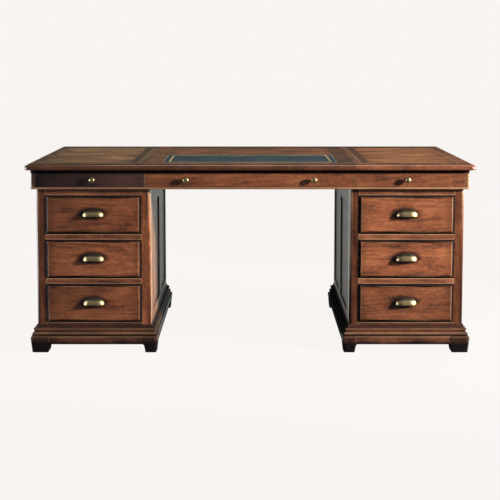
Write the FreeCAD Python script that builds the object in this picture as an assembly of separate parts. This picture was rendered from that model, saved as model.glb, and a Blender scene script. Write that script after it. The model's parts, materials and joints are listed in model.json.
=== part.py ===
import FreeCAD, Part
import math
import os

Vector = FreeCAD.Vector

# A partners desk. Two pedestals carry a frieze of drawers and a top made of three boards.
# Drawers fill the front of each pedestal, and a cupboard with a panelled door fills its rear.
# Millimetres, +Z up, +X to the right seen from the front, which faces -Y.
# The origin is on the floor under the middle of the desk.

# Overall size
desk_width = 1800.0
desk_depth = 900.0
desk_height = 765.0

# Fits that all pieces share
cut_overrun = 1.0
joint_play = 0.15
running_gap = 0.3
match_tolerance = 0.01
fillet_limit_share = 0.48
diagonal_share = 0.5 ** 0.5

# Top: three boards with a raised field inside a moulded edge
top_thickness = 24.0
center_section_bearing = 20.0
field_rise = 3.0
field_inset = 16.0
field_corner_radius = 4.0
top_edge_radius = 14.0
top_under_radius = 4.0
top_corner_radius = 20.0
edge_room_share = 0.9

# Leather let into the front half of the centre section
leather_side_border = 63.0
leather_depth = 351.0
leather_thickness = 2.0
leather_front_border = 64.0
leather_fit = 0.3

# Frieze: the band of shallow drawers under the top, on a dust board with a rounded lip
frieze_height = 78.0
frieze_setback = 22.0
frieze_corner_radius = 10.0
frieze_end_thickness = 18.0
dust_board_thickness = 8.0
dust_board_lip = 3.0
dust_board_edge_radius = 3.5
long_partition_thickness = 16.0
cross_divider_thickness = 20.0
divider_front_gap = 0.5

# Pedestals: corner posts, side frames and rails
pedestal_width = 460.0
pedestal_side_setback = 40.0
pedestal_end_setback = 39.0
post_width = 37.0
post_depth = 40.0
post_corner_radius = 10.0
top_rail_height = 26.0
drawer_rail_height = 22.0
bottom_rail_reveal = 8.0
tenon_length = 14.0
tenon_shoulder = 5.0
tenon_inset = 9.0

# Frame and panel sides of the pedestals
flank_thickness = 22.0
flank_top_rail_height = 80.0
flank_bottom_rail_height = 76.0
flank_stile_width = 70.0
muntin_width = 80.0
muntin_behind_partition = 5.0
panel_thickness = 8.0
panel_recess = 6.0
panel_groove_depth = 8.0
panel_room = 1.0

# Boards inside the pedestals
inner_board_thickness = 12.0
drawer_bay_depth = 431.0
shelf_thickness = 14.0
cleat_width = 12.0
cleat_height = 16.0
runner_height = 16.0
guide_height = 24.0

# Base: plinth boards between tapered corner feet, under a moulding
plinth_height = 66.0
plinth_reach = 27.0
plinth_board_setback = 3.0
plinth_board_thickness = 20.0
plinth_board_lower_edge = 34.0
plinth_edge_round = 5.0
outer_foot_width = 75.0
inner_foot_width = 54.0
foot_depth = 75.0
foot_corner_radius = 10.0
foot_small_radius = 2.0
foot_outer_taper = 6.0
foot_inner_taper = 4.0
foot_top_ease = 4.0
bracket_radius = 10.0

# Base moulding, from its foot to its top: bead, groove, flat fillet and cove
moulding_seat_height = 3.0
bead_diameter = 13.0
bead_root_reach = 13.0
groove_height = 8.0
groove_reach = 11.0
fillet_height = 7.0
fillet_reach = 14.0
cove_height = 14.0
cove_top_reach = 1.5
cove_belly_share = 0.3

# Pedestal drawers
drawer_tiers = ("top", "middle", "bottom")
drawer_gap = 1.5
drawer_front_thickness = 22.0
drawer_front_proud = 6.0
drawer_edge_width = 9.0
drawer_edge_depth = 5.0
drawer_back_room = 15.0
drawer_side_drop = 28.0
tail_count = 4
tail_length = 12.0
tail_flare = 3.0
tail_root_share = 0.5

# Frieze drawers
frieze_front_thickness = 20.0
frieze_front_gap = 1.0
frieze_box_gap = 1.0
frieze_back_room = 12.0
frieze_side_drop = 8.0
frieze_housing_depth = 8.0

# Boards of every drawer box
drawer_side_thickness = 12.0
drawer_back_thickness = 12.0
drawer_bottom_thickness = 6.0
drawer_bottom_lift = 8.0
drawer_bottom_groove = 5.0

# Cup pulls of the pedestal drawers
pull_width = 86.0
pull_reach = 22.0
pull_skirt = 6.0
pull_lift = 9.0
pull_wall = 2.2
pull_plate_thickness = 1.6
pull_post_diameter = 4.0
pull_post_length = 12.0
pull_post_spacing = 50.0
pull_post_rise = 4.0

# Turned knobs of the frieze drawers and the cupboard doors
knob_diameter = 24.0
knob_reach = 22.0
knob_rose_diameter = 17.0
knob_rose_thickness = 2.0
knob_neck_diameter = 9.0
knob_shank_diameter = 5.0
knob_shank_length = 14.0
knob_head_base_share = 0.42
knob_head_widest_share = 0.66
center_knob_inset = 164.0
frieze_knob_drop = 5.0

# Cupboard doors at the rear
door_gap = 2.0
door_thickness = 22.0
door_stile_width = 58.0
door_rail_width = 62.0
door_field_bevel = 26.0
door_field_rise = 4.0
door_panel_recess = 9.0
door_field_margin = 5.0

# Butt hinges of the doors
hinge_gap = 3.0
hinge_length = 60.0
hinge_end_distance = 70.0
hinge_leaf_thickness = 1.2
hinge_leaf_width = 18.0
hinge_barrel_diameter = 8.0
hinge_pin_diameter = 3.2
hinge_knuckle_share = 0.36

# Screws that hold the dust board down on the pedestals
screw_shank_diameter = 4.0
screw_head_diameter = 8.0
screw_head_height = 2.5
screw_spacing = 240.0
screw_bite_share = 0.7

# Levels that follow from the sizes above
top_underside = desk_height - top_thickness
pedestal_top = top_underside - frieze_height
dust_board_top = pedestal_top + dust_board_thickness
bead_foot = plinth_height + moulding_seat_height
groove_foot = bead_foot + bead_diameter
fillet_foot = groove_foot + groove_height
cove_foot = fillet_foot + fillet_height
moulding_top = cove_foot + cove_height
bottom_rail_top = moulding_top + bottom_rail_reveal
opening_top = pedestal_top - top_rail_height
tier_count = len(drawer_tiers)
drawer_stack = opening_top - bottom_rail_top - (tier_count - 1) * drawer_rail_height
drawer_opening_height = drawer_stack / tier_count
shelf_z = (bottom_rail_top + opening_top - shelf_thickness) / 2

# Plan positions that follow from the sizes above
frieze_x = desk_width / 2 - frieze_setback
frieze_y = desk_depth / 2 - frieze_setback
frieze_end_x = frieze_x - frieze_end_thickness
pedestal_outer_x = desk_width / 2 - pedestal_side_setback
pedestal_inner_x = pedestal_outer_x - pedestal_width
section_x = pedestal_inner_x + center_section_bearing
leather_x = section_x - leather_side_border
pedestal_y = desk_depth / 2 - pedestal_end_setback
post_inner_y = pedestal_y - post_depth
bay_partition_y = drawer_bay_depth - pedestal_y
hinge_axis_y = pedestal_y + hinge_barrel_diameter / 2 + running_gap

left, right = -1, 1
front, rear = -1, 1
sides = {"left": left, "right": right}
ends = {"front": front, "rear": rear}
nodes = {}


def block(x0, x1, y0, y1, z0, z1):
    """A rectangular block between two opposite corners, given in any order."""
    corner = Vector(min(x0, x1), min(y0, y1), min(z0, z1))
    return Part.makeBox(abs(x1 - x0), abs(y1 - y0), abs(z1 - z0), corner)


def joined(first, *others):
    """One solid from overlapping or touching ones, without the seams between them."""
    return first.fuse(list(others)).removeSplitter()


def limited(radius, wall):
    """A rounding that never uses up the wall that it is cut from."""
    return min(radius, fillet_limit_share * wall)


def is_upright(edge, x, y):
    """Whether an edge stands vertically at one plan position."""
    box = edge.BoundBox
    stands = box.XLength < match_tolerance and box.YLength < match_tolerance
    return stands and abs(box.XMin - x) < match_tolerance and abs(box.YMin - y) < match_tolerance


def round_uprights(shape, radius, places):
    """Round the vertical edges that stand at the given plan positions."""
    edges = [edge for edge in shape.Edges if any(is_upright(edge, x, y) for x, y in places)]
    return shape.makeFillet(radius, edges)


def round_level(shape, radius, z):
    """Round every edge that lies at one height."""
    edges = [e for e in shape.Edges
             if abs(e.BoundBox.ZMin - z) < match_tolerance and e.BoundBox.ZLength < match_tolerance]
    return shape.makeFillet(radius, edges)


def rounded_slab(half_x, half_y, z0, z1, corner_radius):
    """A level board centred on the desk, with rounded plan corners."""
    slab = block(-half_x, half_x, -half_y, half_y, z0, z1)
    corners = [(sx * half_x, sy * half_y) for sx in (left, right) for sy in (front, rear)]
    return round_uprights(slab, corner_radius, corners)


def cylinder_y(x, z, y0, y1, diameter):
    """A round bar along Y."""
    return Part.makeCylinder(diameter / 2, abs(y1 - y0), Vector(x, min(y0, y1), z), Vector(0, 1, 0))


def flanks(side):
    """Face position and inward direction of a pedestal's outer side and kneehole side."""
    return [(side * pedestal_outer_x, -side), (side * pedestal_inner_x, side)]


def bay_span(side, inset):
    """Where a space between the two sides of a pedestal starts and ends, inset from both faces."""
    return [face + inward * inset for face, inward in flanks(side)]


# Top

def full_top():
    """The whole top: a board with an ovolo edge and a raised field on it."""
    half_x, half_y = desk_width / 2, desk_depth / 2
    ledge = desk_height - field_rise
    slab = rounded_slab(half_x, half_y, top_underside, ledge, top_corner_radius)
    wall = ledge - top_underside
    under = limited(top_under_radius, min(wall, top_corner_radius * 2))
    room = min(wall - under, top_corner_radius, field_inset)
    slab = round_level(slab, min(top_edge_radius, edge_room_share * room), ledge)
    slab = round_level(slab, under, top_underside)
    field = rounded_slab(half_x - field_inset, half_y - field_inset, ledge, desk_height, field_corner_radius)
    return joined(slab, field)


def leather_block(play, thickness):
    """The space of the leather, with play round it and measured down from the top's surface."""
    edge_y = -desk_depth / 2 + field_inset + leather_front_border
    half_x = leather_x + play
    return block(-half_x, half_x, edge_y - play, edge_y + leather_depth + play,
                 desk_height - thickness, desk_height)


def top_sections():
    top = full_top()
    half_y = desk_depth / 2 + cut_overrun
    reach_x = desk_width / 2 + cut_overrun
    low, high = top_underside - cut_overrun, desk_height + cut_overrun
    center = top.common(block(-section_x, section_x, -half_y, half_y, low, high))
    nodes["top_center_section"] = [center.cut(leather_block(leather_fit, leather_thickness))]
    for name, side in sides.items():
        end_block = block(side * section_x, side * reach_x, -half_y, half_y, low, high)
        nodes["top_" + name + "_section"] = [top.common(end_block)]
    nodes["leather_writing_surface"] = [leather_block(0, leather_thickness)]


# Frieze

def screw_places():
    """Plan position of every screw that goes through the dust board into a pedestal's rail."""
    places = []
    for side in sides.values():
        middle_x = side * (pedestal_outer_x + pedestal_inner_x) / 2
        for end in ends.values():
            rail_y = end * (pedestal_y + post_inner_y) / 2
            places.append((middle_x - screw_spacing / 2, rail_y))
            places.append((middle_x + screw_spacing / 2, rail_y))
    return places


def screw(x, y, play):
    """A countersunk screw from the dust board's top into the rail below, or its hole with play."""
    radius = screw_shank_diameter / 2 + play
    head = screw_head_diameter / 2 + play
    tip_z = pedestal_top - screw_bite_share * top_rail_height - play
    shank = Part.makeCylinder(radius, dust_board_top - tip_z, Vector(x, y, tip_z))
    seat = Vector(x, y, dust_board_top - screw_head_height)
    return joined(shank, Part.makeCone(radius, head, screw_head_height, seat))


def frieze_carcass():
    lip_x, lip_y = frieze_x + dust_board_lip, frieze_y + dust_board_lip
    corner = frieze_corner_radius + dust_board_lip
    board = rounded_slab(lip_x, lip_y, pedestal_top, dust_board_top, corner)
    edge = limited(dust_board_edge_radius, dust_board_thickness)
    board = round_level(round_level(board, edge, dust_board_top), edge, pedestal_top)
    for x, y in screw_places():
        board = board.cut(screw(x, y, joint_play))
    nodes["frieze_dust_board"] = [board]
    nodes["fixing_screws"] = [screw(x, y, 0) for x, y in screw_places()]

    panels = []
    for side in sides.values():
        panel = block(side * frieze_end_x, side * frieze_x, -frieze_y, frieze_y,
                      dust_board_top, top_underside)
        outer = [(side * frieze_x, end * frieze_y) for end in ends.values()]
        panels.append(round_uprights(panel, limited(frieze_corner_radius, frieze_end_thickness), outer))
    nodes["frieze_end_panels"] = panels

    half_long = long_partition_thickness / 2
    half_cross = cross_divider_thickness / 2
    start_y = frieze_y - frieze_front_thickness - divider_front_gap
    dividers = [block(-frieze_end_x, frieze_end_x, -half_long, half_long, dust_board_top, top_underside)]
    for side in sides.values():
        for end in ends.values():
            x = side * section_x
            dividers.append(block(x - half_cross, x + half_cross, end * half_long, end * start_y,
                                  dust_board_top, top_underside))
    nodes["frieze_dividers"] = dividers


# Pedestal carcass

def rail_levels(end):
    """Lower and upper edge of each rail across one end of a pedestal, from the bottom up."""
    levels = [(plinth_height, bottom_rail_top)]
    if end == front:
        for tier in range(1, tier_count):
            z = bottom_rail_top + tier * drawer_opening_height + (tier - 1) * drawer_rail_height
            levels.append((z, z + drawer_rail_height))
    levels.append((opening_top, pedestal_top))
    return levels


def rail_tenons(side, end, z0, z1, play):
    """The bar whose two ends are a rail's tenons, or their mortises with play."""
    x0, x1 = bay_span(side, post_width - tenon_length - play)
    y_face = end * (pedestal_y - tenon_inset + play)
    y_back = end * (post_inner_y + tenon_inset - play)
    return block(x0, x1, y_face, y_back, z0 + tenon_shoulder - play, z1 - tenon_shoulder + play)


def cross_rail(side, end, z0, z1):
    x0, x1 = bay_span(side, post_width)
    bar = block(x0, x1, end * pedestal_y, end * post_inner_y, z0, z1)
    return joined(bar, rail_tenons(side, end, z0, z1, 0))


def panel_span(face, inward, play):
    """Where a side panel lies across the thickness of its frame."""
    return face + inward * (panel_recess - play), face + inward * (panel_recess + panel_thickness + play)


def corner_post(side, face, inward, end):
    """A post with one rounded corner, a panel groove and a mortise for each rail."""
    x1 = face + inward * post_width
    y0, y1 = end * pedestal_y, end * post_inner_y
    shaft = block(face, x1, y0, y1, moulding_top, pedestal_top)
    shaft = round_uprights(shaft, limited(post_corner_radius, min(post_width, post_depth)), [(face, y0)])
    post = joined(shaft, block(face, x1, y0, y1, plinth_height, moulding_top))
    g0, g1 = panel_span(face, inward, joint_play)
    post = post.cut(block(g0, g1, y1 - end * cut_overrun, y1 + end * panel_groove_depth,
                          plinth_height - cut_overrun, pedestal_top + cut_overrun))
    for z0, z1 in rail_levels(end):
        post = post.cut(rail_tenons(side, end, z0, z1, joint_play))
    return post


def flank_frame(face, inward):
    """Rails, front stile and muntin of one pedestal side, and the two panels that they hold."""
    back = face + inward * flank_thickness
    p0, p1 = panel_span(face, inward, 0)
    g0, g1 = panel_span(face, inward, joint_play)
    tongue = panel_groove_depth - joint_play
    low = plinth_height + flank_bottom_rail_height
    high = pedestal_top - flank_top_rail_height
    stile_edge = flank_stile_width - post_inner_y
    muntin_start = bay_partition_y + muntin_behind_partition
    muntin_end = muntin_start + muntin_width

    def rail(z0, z1, groove_from, groove_to):
        bar = block(face, back, -post_inner_y, post_inner_y, z0, z1)
        ends_bar = block(p0, p1, -post_inner_y - tongue, post_inner_y + tongue, z0, z1)
        reach = post_inner_y + panel_groove_depth
        return joined(bar, ends_bar).cut(block(g0, g1, -reach, reach, groove_from, groove_to))

    def upright(start, stop, side_tongue, grooved_edges):
        """A board between the rails, tongued at both ends and perhaps into the post, grooved for panels."""
        bar = joined(block(face, back, start, stop, low, high),
                     block(p0, p1, start - side_tongue, stop, low - tongue, high + tongue))
        for edge, outward in grooved_edges:
            bar = bar.cut(block(g0, g1, edge - outward * panel_groove_depth, edge + outward * cut_overrun,
                                low - panel_groove_depth, high + panel_groove_depth))
        return bar

    bottom = rail(plinth_height, low, low - panel_groove_depth, low + cut_overrun)
    top = rail(high, pedestal_top, high - cut_overrun, high + panel_groove_depth)
    stile = upright(-post_inner_y, stile_edge, tongue, [(stile_edge, 1)])
    muntin = upright(muntin_start, muntin_end, 0, [(muntin_start, -1), (muntin_end, 1)])
    bite = panel_groove_depth - panel_room
    panels = [block(p0, p1, start - bite, stop + bite, low - bite, high + bite)
              for start, stop in ((stile_edge, muntin_start), (muntin_end, post_inner_y))]
    return [bottom, top, stile, muntin], panels


def runner_pair(side, z):
    """The runner under each side of a drawer and the guide strip beside it."""
    solids = []
    for face, inward in flanks(side):
        wall = face + inward * flank_thickness
        post_edge = face + inward * post_width
        under = post_edge + inward * (drawer_gap + drawer_side_thickness)
        solids.append(block(wall, under, -post_inner_y, bay_partition_y, z - runner_height, z))
        solids.append(block(wall, post_edge, -post_inner_y, bay_partition_y, z, z + guide_height))
    return solids


def drawer_floor(tier):
    """Height of the opening's lower edge, counting tiers from the top."""
    steps = tier_count - 1 - tier
    return bottom_rail_top + steps * (drawer_opening_height + drawer_rail_height)


def inner_boards(side):
    """Bottom, partition, shelf and the cleats that carry the shelf."""
    x0, x1 = bay_span(side, flank_thickness)
    floor_top = plinth_height + inner_board_thickness
    cupboard_y = bay_partition_y + inner_board_thickness
    boards = [block(x0, x1, -post_inner_y, post_inner_y, plinth_height, floor_top),
              block(x0, x1, bay_partition_y, cupboard_y, floor_top, pedestal_top),
              block(x0, x1, cupboard_y, post_inner_y, shelf_z, shelf_z + shelf_thickness)]
    for face, inward in flanks(side):
        wall = face + inward * flank_thickness
        boards.append(block(wall, wall + inward * cleat_width, cupboard_y, post_inner_y,
                            shelf_z - cleat_height, shelf_z))
    return boards


def pedestal_carcass():
    posts, rails, side_rails, panels, runners, boards = [], [], [], [], [], []
    for side in sides.values():
        boards += inner_boards(side)
        for tier in range(tier_count):
            runners += runner_pair(side, drawer_floor(tier))
        for end in ends.values():
            rails += [cross_rail(side, end, z0, z1) for z0, z1 in rail_levels(end)]
        for face, inward in flanks(side):
            posts += [corner_post(side, face, inward, end) for end in ends.values()]
            frame, pair = flank_frame(face, inward)
            side_rails += frame
            panels += pair
    holes = Part.makeCompound([screw(x, y, joint_play) for x, y in screw_places()])
    rails = [rail.cut(holes) for rail in rails]
    nodes["corner_posts"] = posts
    nodes["drawer_rails"] = rails
    nodes["side_rails"] = side_rails
    nodes["side_panels"] = panels
    nodes["drawer_runners"] = runners
    nodes["pedestal_boards"] = boards


# Base

def moulding_profile(origin, out):
    """Section of the base moulding as a face, standing at a point and reaching outwards."""
    def at(reach, z):
        return origin + out * reach + Vector(0, 0, z)

    bead_tip = bead_root_reach + bead_diameter / 2
    bead_middle = bead_foot + bead_diameter / 2
    belly = at(cove_top_reach + cove_belly_share * (fillet_reach - cove_top_reach),
               cove_foot + cove_belly_share * cove_height)
    line, arc = Part.LineSegment, Part.Arc
    seat, root = at(bead_root_reach, plinth_height), at(bead_root_reach, bead_foot)
    crown = at(bead_root_reach, groove_foot)
    groove_low, groove_high = at(groove_reach, groove_foot), at(groove_reach, fillet_foot)
    fillet_low, fillet_high = at(fillet_reach, fillet_foot), at(fillet_reach, cove_foot)
    cove_end = at(cove_top_reach, moulding_top)
    back_high, back_low = at(0, moulding_top), at(0, plinth_height)
    curves = [line(back_low, seat), line(seat, root), arc(root, at(bead_tip, bead_middle), crown),
              line(crown, groove_low), line(groove_low, groove_high), line(groove_high, fillet_low),
              line(fillet_low, fillet_high), arc(fillet_high, belly, cove_end),
              line(cove_end, back_high), line(back_high, back_low)]
    return Part.Face(Part.Wire([curve.toShape() for curve in curves]))


def mitred_moulding(start, stop, out):
    """A length of base moulding from corner to corner, mitred at both ends."""
    run = stop - start
    along = Vector(run).normalize()
    reach = max(bead_root_reach + bead_diameter / 2, fillet_reach) + cut_overrun
    length = moulding_profile(start - along * reach, out).extrude(run + along * (reach * 2))
    plan = [start, stop, stop + (out + along) * reach, start + (out - along) * reach]
    low = Vector(0, 0, plinth_height - cut_overrun)
    corners = [point + low for point in plan]
    prism = Part.Face(Part.makePolygon(corners + corners[:1]))
    return length.common(prism.extrude(Vector(0, 0, moulding_top - plinth_height + cut_overrun * 2)))


def corner_rounded_outline(x0, x1, y0, y1, z, outer_radius, small_radius):
    """A level rectangle whose corner at x0, y0 has the large radius and the others the small one."""
    sx = 1 if x1 > x0 else -1
    sy = 1 if y1 > y0 else -1
    corners = [(x0, y0, sx, sy, outer_radius), (x1, y0, -sx, sy, small_radius),
               (x1, y1, -sx, -sy, small_radius), (x0, y1, sx, -sy, small_radius)]
    ease = 1 - diagonal_share
    runs = []
    for number, (x, y, to_x, to_y, radius) in enumerate(corners):
        on_x = Vector(x + to_x * radius, y, z)
        on_y = Vector(x, y + to_y * radius, z)
        middle = Vector(x + to_x * radius * ease, y + to_y * radius * ease, z)
        runs.append((on_y, middle, on_x) if number % 2 == 0 else (on_x, middle, on_y))
    edges = []
    for number, (enter, middle, leave) in enumerate(runs):
        following = runs[(number + 1) % len(runs)]
        edges.append(Part.Arc(enter, middle, leave).toShape())
        edges.append(Part.LineSegment(leave, following[0]).toShape())
    return Part.Wire(edges)


def foot(face, inward, end, width):
    """A corner foot that tapers to the floor below its bracket and eases in at its top edge."""
    x_out, x_in = face - inward * plinth_reach, face + inward * (width - plinth_reach)
    y_out, y_in = end * (pedestal_y + plinth_reach), end * (pedestal_y + plinth_reach - foot_depth)
    bracket_z = plinth_board_lower_edge - bracket_radius
    shoulder_z = plinth_height - foot_top_ease
    taper_rate = foot_outer_taper / shoulder_z
    levels = [(0, foot_outer_taper, foot_inner_taper),
              (bracket_z, foot_outer_taper - bracket_z * taper_rate, 0),
              (shoulder_z, 0, 0),
              (plinth_height, foot_top_ease, 0)]
    outlines = []
    for z, outer, inner in levels:
        outlines.append(corner_rounded_outline(x_out + inward * outer, x_in - inward * inner,
                                               y_out - end * outer, y_in + end * inner,
                                               z, foot_corner_radius, foot_small_radius))
    return Part.makeLoft(outlines, True, True)


def plinth_board(start, stop, out):
    """A board between two feet with an eased top edge, and a small curved bracket at each end."""
    along = Vector(stop - start).normalize()
    face = plinth_reach - plinth_board_setback
    back = face - plinth_board_thickness
    low, high = start + out * back, stop + out * face
    board = block(low.x, high.x, low.y, high.y, plinth_board_lower_edge, plinth_height)
    outer = [edge for edge in board.Edges
             if abs(edge.BoundBox.ZMin - plinth_height) < match_tolerance
             and abs((edge.CenterOfMass - high).dot(out)) < match_tolerance]
    board = board.makeFillet(limited(plinth_edge_round, plinth_board_thickness), outer)
    solids = [board]
    drop = Vector(0, 0, bracket_radius)
    for corner, inwards in ((start, along), (stop, along * -1)):
        tip = corner + out * back + Vector(0, 0, plinth_board_lower_edge)
        lower, side = tip - drop, tip + inwards * bracket_radius
        ease = bracket_radius * (1 - diagonal_share)
        middle = tip + inwards * ease - Vector(0, 0, ease)
        curves = [Part.LineSegment(tip, lower), Part.Arc(lower, middle, side), Part.LineSegment(side, tip)]
        section = Part.Face(Part.Wire([curve.toShape() for curve in curves]))
        solids.append(section.extrude(out * plinth_board_thickness))
    return solids


def pedestal_base():
    mouldings, boards, feet = [], [], []
    for side in sides.values():
        (outer, outer_in), (inner, inner_in) = flanks(side)
        foot_widths = {outer: outer_foot_width, inner: inner_foot_width}
        for face, inward in flanks(side):
            feet += [foot(face, inward, end, foot_widths[face]) for end in ends.values()]
            run_y = pedestal_y + plinth_reach - foot_depth
            out = Vector(-inward, 0, 0)
            boards += plinth_board(Vector(face, -run_y, 0), Vector(face, run_y, 0), out)
            mouldings.append(mitred_moulding(Vector(face, -pedestal_y, 0), Vector(face, pedestal_y, 0), out))
        for end in ends.values():
            y, out = end * pedestal_y, Vector(0, end, 0)
            start = Vector(outer + outer_in * (outer_foot_width - plinth_reach), y, 0)
            stop = Vector(inner + inner_in * (inner_foot_width - plinth_reach), y, 0)
            boards += plinth_board(start, stop, out)
            mouldings.append(mitred_moulding(Vector(outer, y, 0), Vector(inner, y, 0), out))
    nodes["base_mouldings"] = mouldings
    nodes["plinth_boards"] = boards
    nodes["bracket_feet"] = feet


# Drawers

def wedge(x0, x1, root_y, outward, length, z, root, tip):
    """A tail that widens from its root to its tip, with a short lead behind the root."""
    tip_y = root_y + outward * length
    lead_y = root_y - outward * cut_overrun
    half = [(lead_y, root / 2), (root_y, root / 2), (tip_y, tip / 2)]
    points = [Vector(x0, y, z - h) for y, h in half] + [Vector(x0, y, z + h) for y, h in reversed(half)]
    return Part.Face(Part.makePolygon(points + points[:1])).extrude(Vector(x1 - x0, 0, 0))


def side_joint(x0, x1, root_y, outward, z0, z1, joint, play):
    """The tails at the front end of a drawer side, or their sockets with play."""
    count, length, flare = joint
    pitch = (z1 - z0) / count
    share = 1 if count == 1 else tail_root_share
    root = pitch * share + play * 2
    return [wedge(x0 - play, x1 + play, root_y, outward, length + play, z0 + pitch * (number + 1 / 2),
                  root, root + flare * 2) for number in range(count)]


def drawer_box(x0, x1, root_y, outward, length, z0, z1, joint):
    """Sides, back and bottom of a drawer behind its front, and the cuts that its front needs."""
    x0, x1 = min(x0, x1), max(x0, x1)
    inner0, inner1 = x0 + drawer_side_thickness, x1 - drawer_side_thickness
    end_y = root_y - outward * length
    floor0 = z0 + drawer_bottom_lift
    floor1 = floor0 + drawer_bottom_thickness
    groove = block(inner0 - drawer_bottom_groove, inner1 + drawer_bottom_groove,
                   root_y + outward * tail_length, end_y - outward * cut_overrun,
                   floor0 - joint_play, floor1 + joint_play)
    solids, cuts = [], []
    for a, b in ((x0, inner0), (inner1, x1)):
        tails = side_joint(a, b, root_y, outward, z0, z1, joint, 0)
        side = joined(block(a, b, root_y, end_y, z0, z1), *tails)
        solids.append(side.cut(groove))
        cuts += side_joint(a, b, root_y, outward, z0, z1, joint, joint_play)
    back_y = end_y + outward * drawer_back_thickness
    solids.append(block(inner0, inner1, back_y, end_y, floor1, z1))
    reach = drawer_bottom_groove - joint_play
    tongue_y = root_y + outward * reach
    bottom = joined(block(inner0 - reach, inner1 + reach, root_y, end_y, floor0, floor1),
                    block(inner0 + joint_play, inner1 - joint_play, tongue_y, end_y, floor0, floor1))
    solids.append(bottom)
    cuts.append(block(inner0, inner1, root_y - outward * cut_overrun, root_y + outward * drawer_bottom_groove,
                      floor0 - joint_play, floor1 + joint_play))
    return solids, cuts


def level_outline(x0, x1, z0, z1, y):
    corners = [Vector(x0, y, z0), Vector(x1, y, z0), Vector(x1, y, z1), Vector(x0, y, z1)]
    return Part.makePolygon(corners + corners[:1])


def bevelled_board(x0, x1, z0, z1, back_y, outward, thickness, bevel_width, bevel_depth):
    """An upright board whose face is bevelled on all four edges."""
    x0, x1 = min(x0, x1), max(x0, x1)
    rim_y = back_y + outward * (thickness - bevel_depth)
    field_y = back_y + outward * thickness
    rim = level_outline(x0, x1, z0, z1, rim_y)
    field = level_outline(x0 + bevel_width, x1 - bevel_width, z0 + bevel_width, z1 - bevel_width, field_y)
    return joined(block(x0, x1, back_y, rim_y, z0, z1), Part.makeLoft([rim, field], True, True))


def cup_pull(x, z, wall_y):
    """A hooded pull open below: a quarter-round hood over a straight skirt, on a plate with two posts."""
    outer, inner = pull_reach, pull_reach - pull_wall
    run = pull_width / 2 - pull_reach
    half = diagonal_share

    def at(x_off, out, rise):
        return Vector(x + x_off, wall_y - out, z + rise)

    def hood_section(x_off):
        line, arc = Part.LineSegment, Part.Arc
        curves = [line(at(x_off, outer, -pull_skirt), at(x_off, outer, 0)),
                  arc(at(x_off, outer, 0), at(x_off, outer * half, outer * half), at(x_off, 0, outer)),
                  line(at(x_off, 0, outer), at(x_off, 0, inner)),
                  arc(at(x_off, 0, inner), at(x_off, inner * half, inner * half), at(x_off, inner, 0)),
                  line(at(x_off, inner, 0), at(x_off, inner, -pull_skirt)),
                  line(at(x_off, inner, -pull_skirt), at(x_off, outer, -pull_skirt))]
        return Part.Face(Part.Wire([curve.toShape() for curve in curves]))

    quarter = 90
    upright = Vector(0, 0, 1)
    left_end = hood_section(-run).revolve(at(-run, 0, 0), upright, -quarter)
    right_end = hood_section(run).revolve(at(run, 0, 0), upright, quarter)
    middle = hood_section(-run).extrude(Vector(run * 2, 0, 0))
    wide = pull_width / 2
    bend = outer * half
    rim = [Part.LineSegment(at(-wide, 0, -pull_skirt), at(-wide, 0, 0)),
           Part.Arc(at(-wide, 0, 0), at(-run - bend, 0, bend), at(-run, 0, outer)),
           Part.LineSegment(at(-run, 0, outer), at(run, 0, outer)),
           Part.Arc(at(run, 0, outer), at(run + bend, 0, bend), at(wide, 0, 0)),
           Part.LineSegment(at(wide, 0, 0), at(wide, 0, -pull_skirt)),
           Part.LineSegment(at(wide, 0, -pull_skirt), at(-wide, 0, -pull_skirt))]
    outline = Part.Face(Part.Wire([curve.toShape() for curve in rim]))
    plate = outline.extrude(Vector(0, -pull_plate_thickness, 0))
    return joined(middle, left_end, right_end, plate, *pull_posts(x, z, wall_y, 0))


def pull_posts(x, z, wall_y, play):
    """The two posts of a pull inside the drawer front, or their holes with play."""
    deep_y = wall_y + pull_post_length + play
    start_y = wall_y - pull_plate_thickness
    return [cylinder_y(x + sign * pull_post_spacing / 2, z + pull_post_rise, start_y, deep_y,
                       pull_post_diameter + play * 2) for sign in (left, right)]


def knob(x, z, wall_y, outward):
    """A turned knob: shank in the wood, rose, neck and a domed head."""
    def at(radius, out):
        return Vector(x + radius, wall_y + outward * out, z)

    shank, neck, rim = knob_shank_diameter / 2, knob_neck_diameter / 2, knob_diameter / 2
    rose = knob_rose_diameter / 2
    base_out = knob_reach * knob_head_base_share
    widest_out = knob_reach * knob_head_widest_share
    dome_center = (knob_reach ** 2 - widest_out ** 2 - rim ** 2) / (2 * (knob_reach - widest_out))
    dome_radius = knob_reach - dome_center
    lean = math.atan2(rim, widest_out - dome_center) / 2
    dome = at(dome_radius * math.sin(lean), dome_center + dome_radius * math.cos(lean))
    points = [at(0, -knob_shank_length), at(shank, -knob_shank_length), at(shank, 0), at(rose, 0),
              at(rose, knob_rose_thickness), at(neck, knob_rose_thickness), at(neck, base_out),
              at(rim, widest_out)]
    edges = [Part.LineSegment(a, b).toShape() for a, b in zip(points, points[1:])]
    edges.append(Part.Arc(points[-1], dome, at(0, knob_reach)).toShape())
    edges.append(Part.LineSegment(at(0, knob_reach), points[0]).toShape())
    full_turn = 360
    return Part.Face(Part.Wire(edges)).revolve(at(0, 0), Vector(0, 1, 0), full_turn)


def knob_hole(x, z, wall_y, outward):
    depth = knob_shank_length + joint_play
    return cylinder_y(x, z, wall_y + outward * cut_overrun, wall_y - outward * depth,
                      knob_shank_diameter + joint_play * 2)


def cut_all(shape, cutters):
    for cutter in cutters:
        shape = shape.cut(cutter)
    return shape


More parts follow.
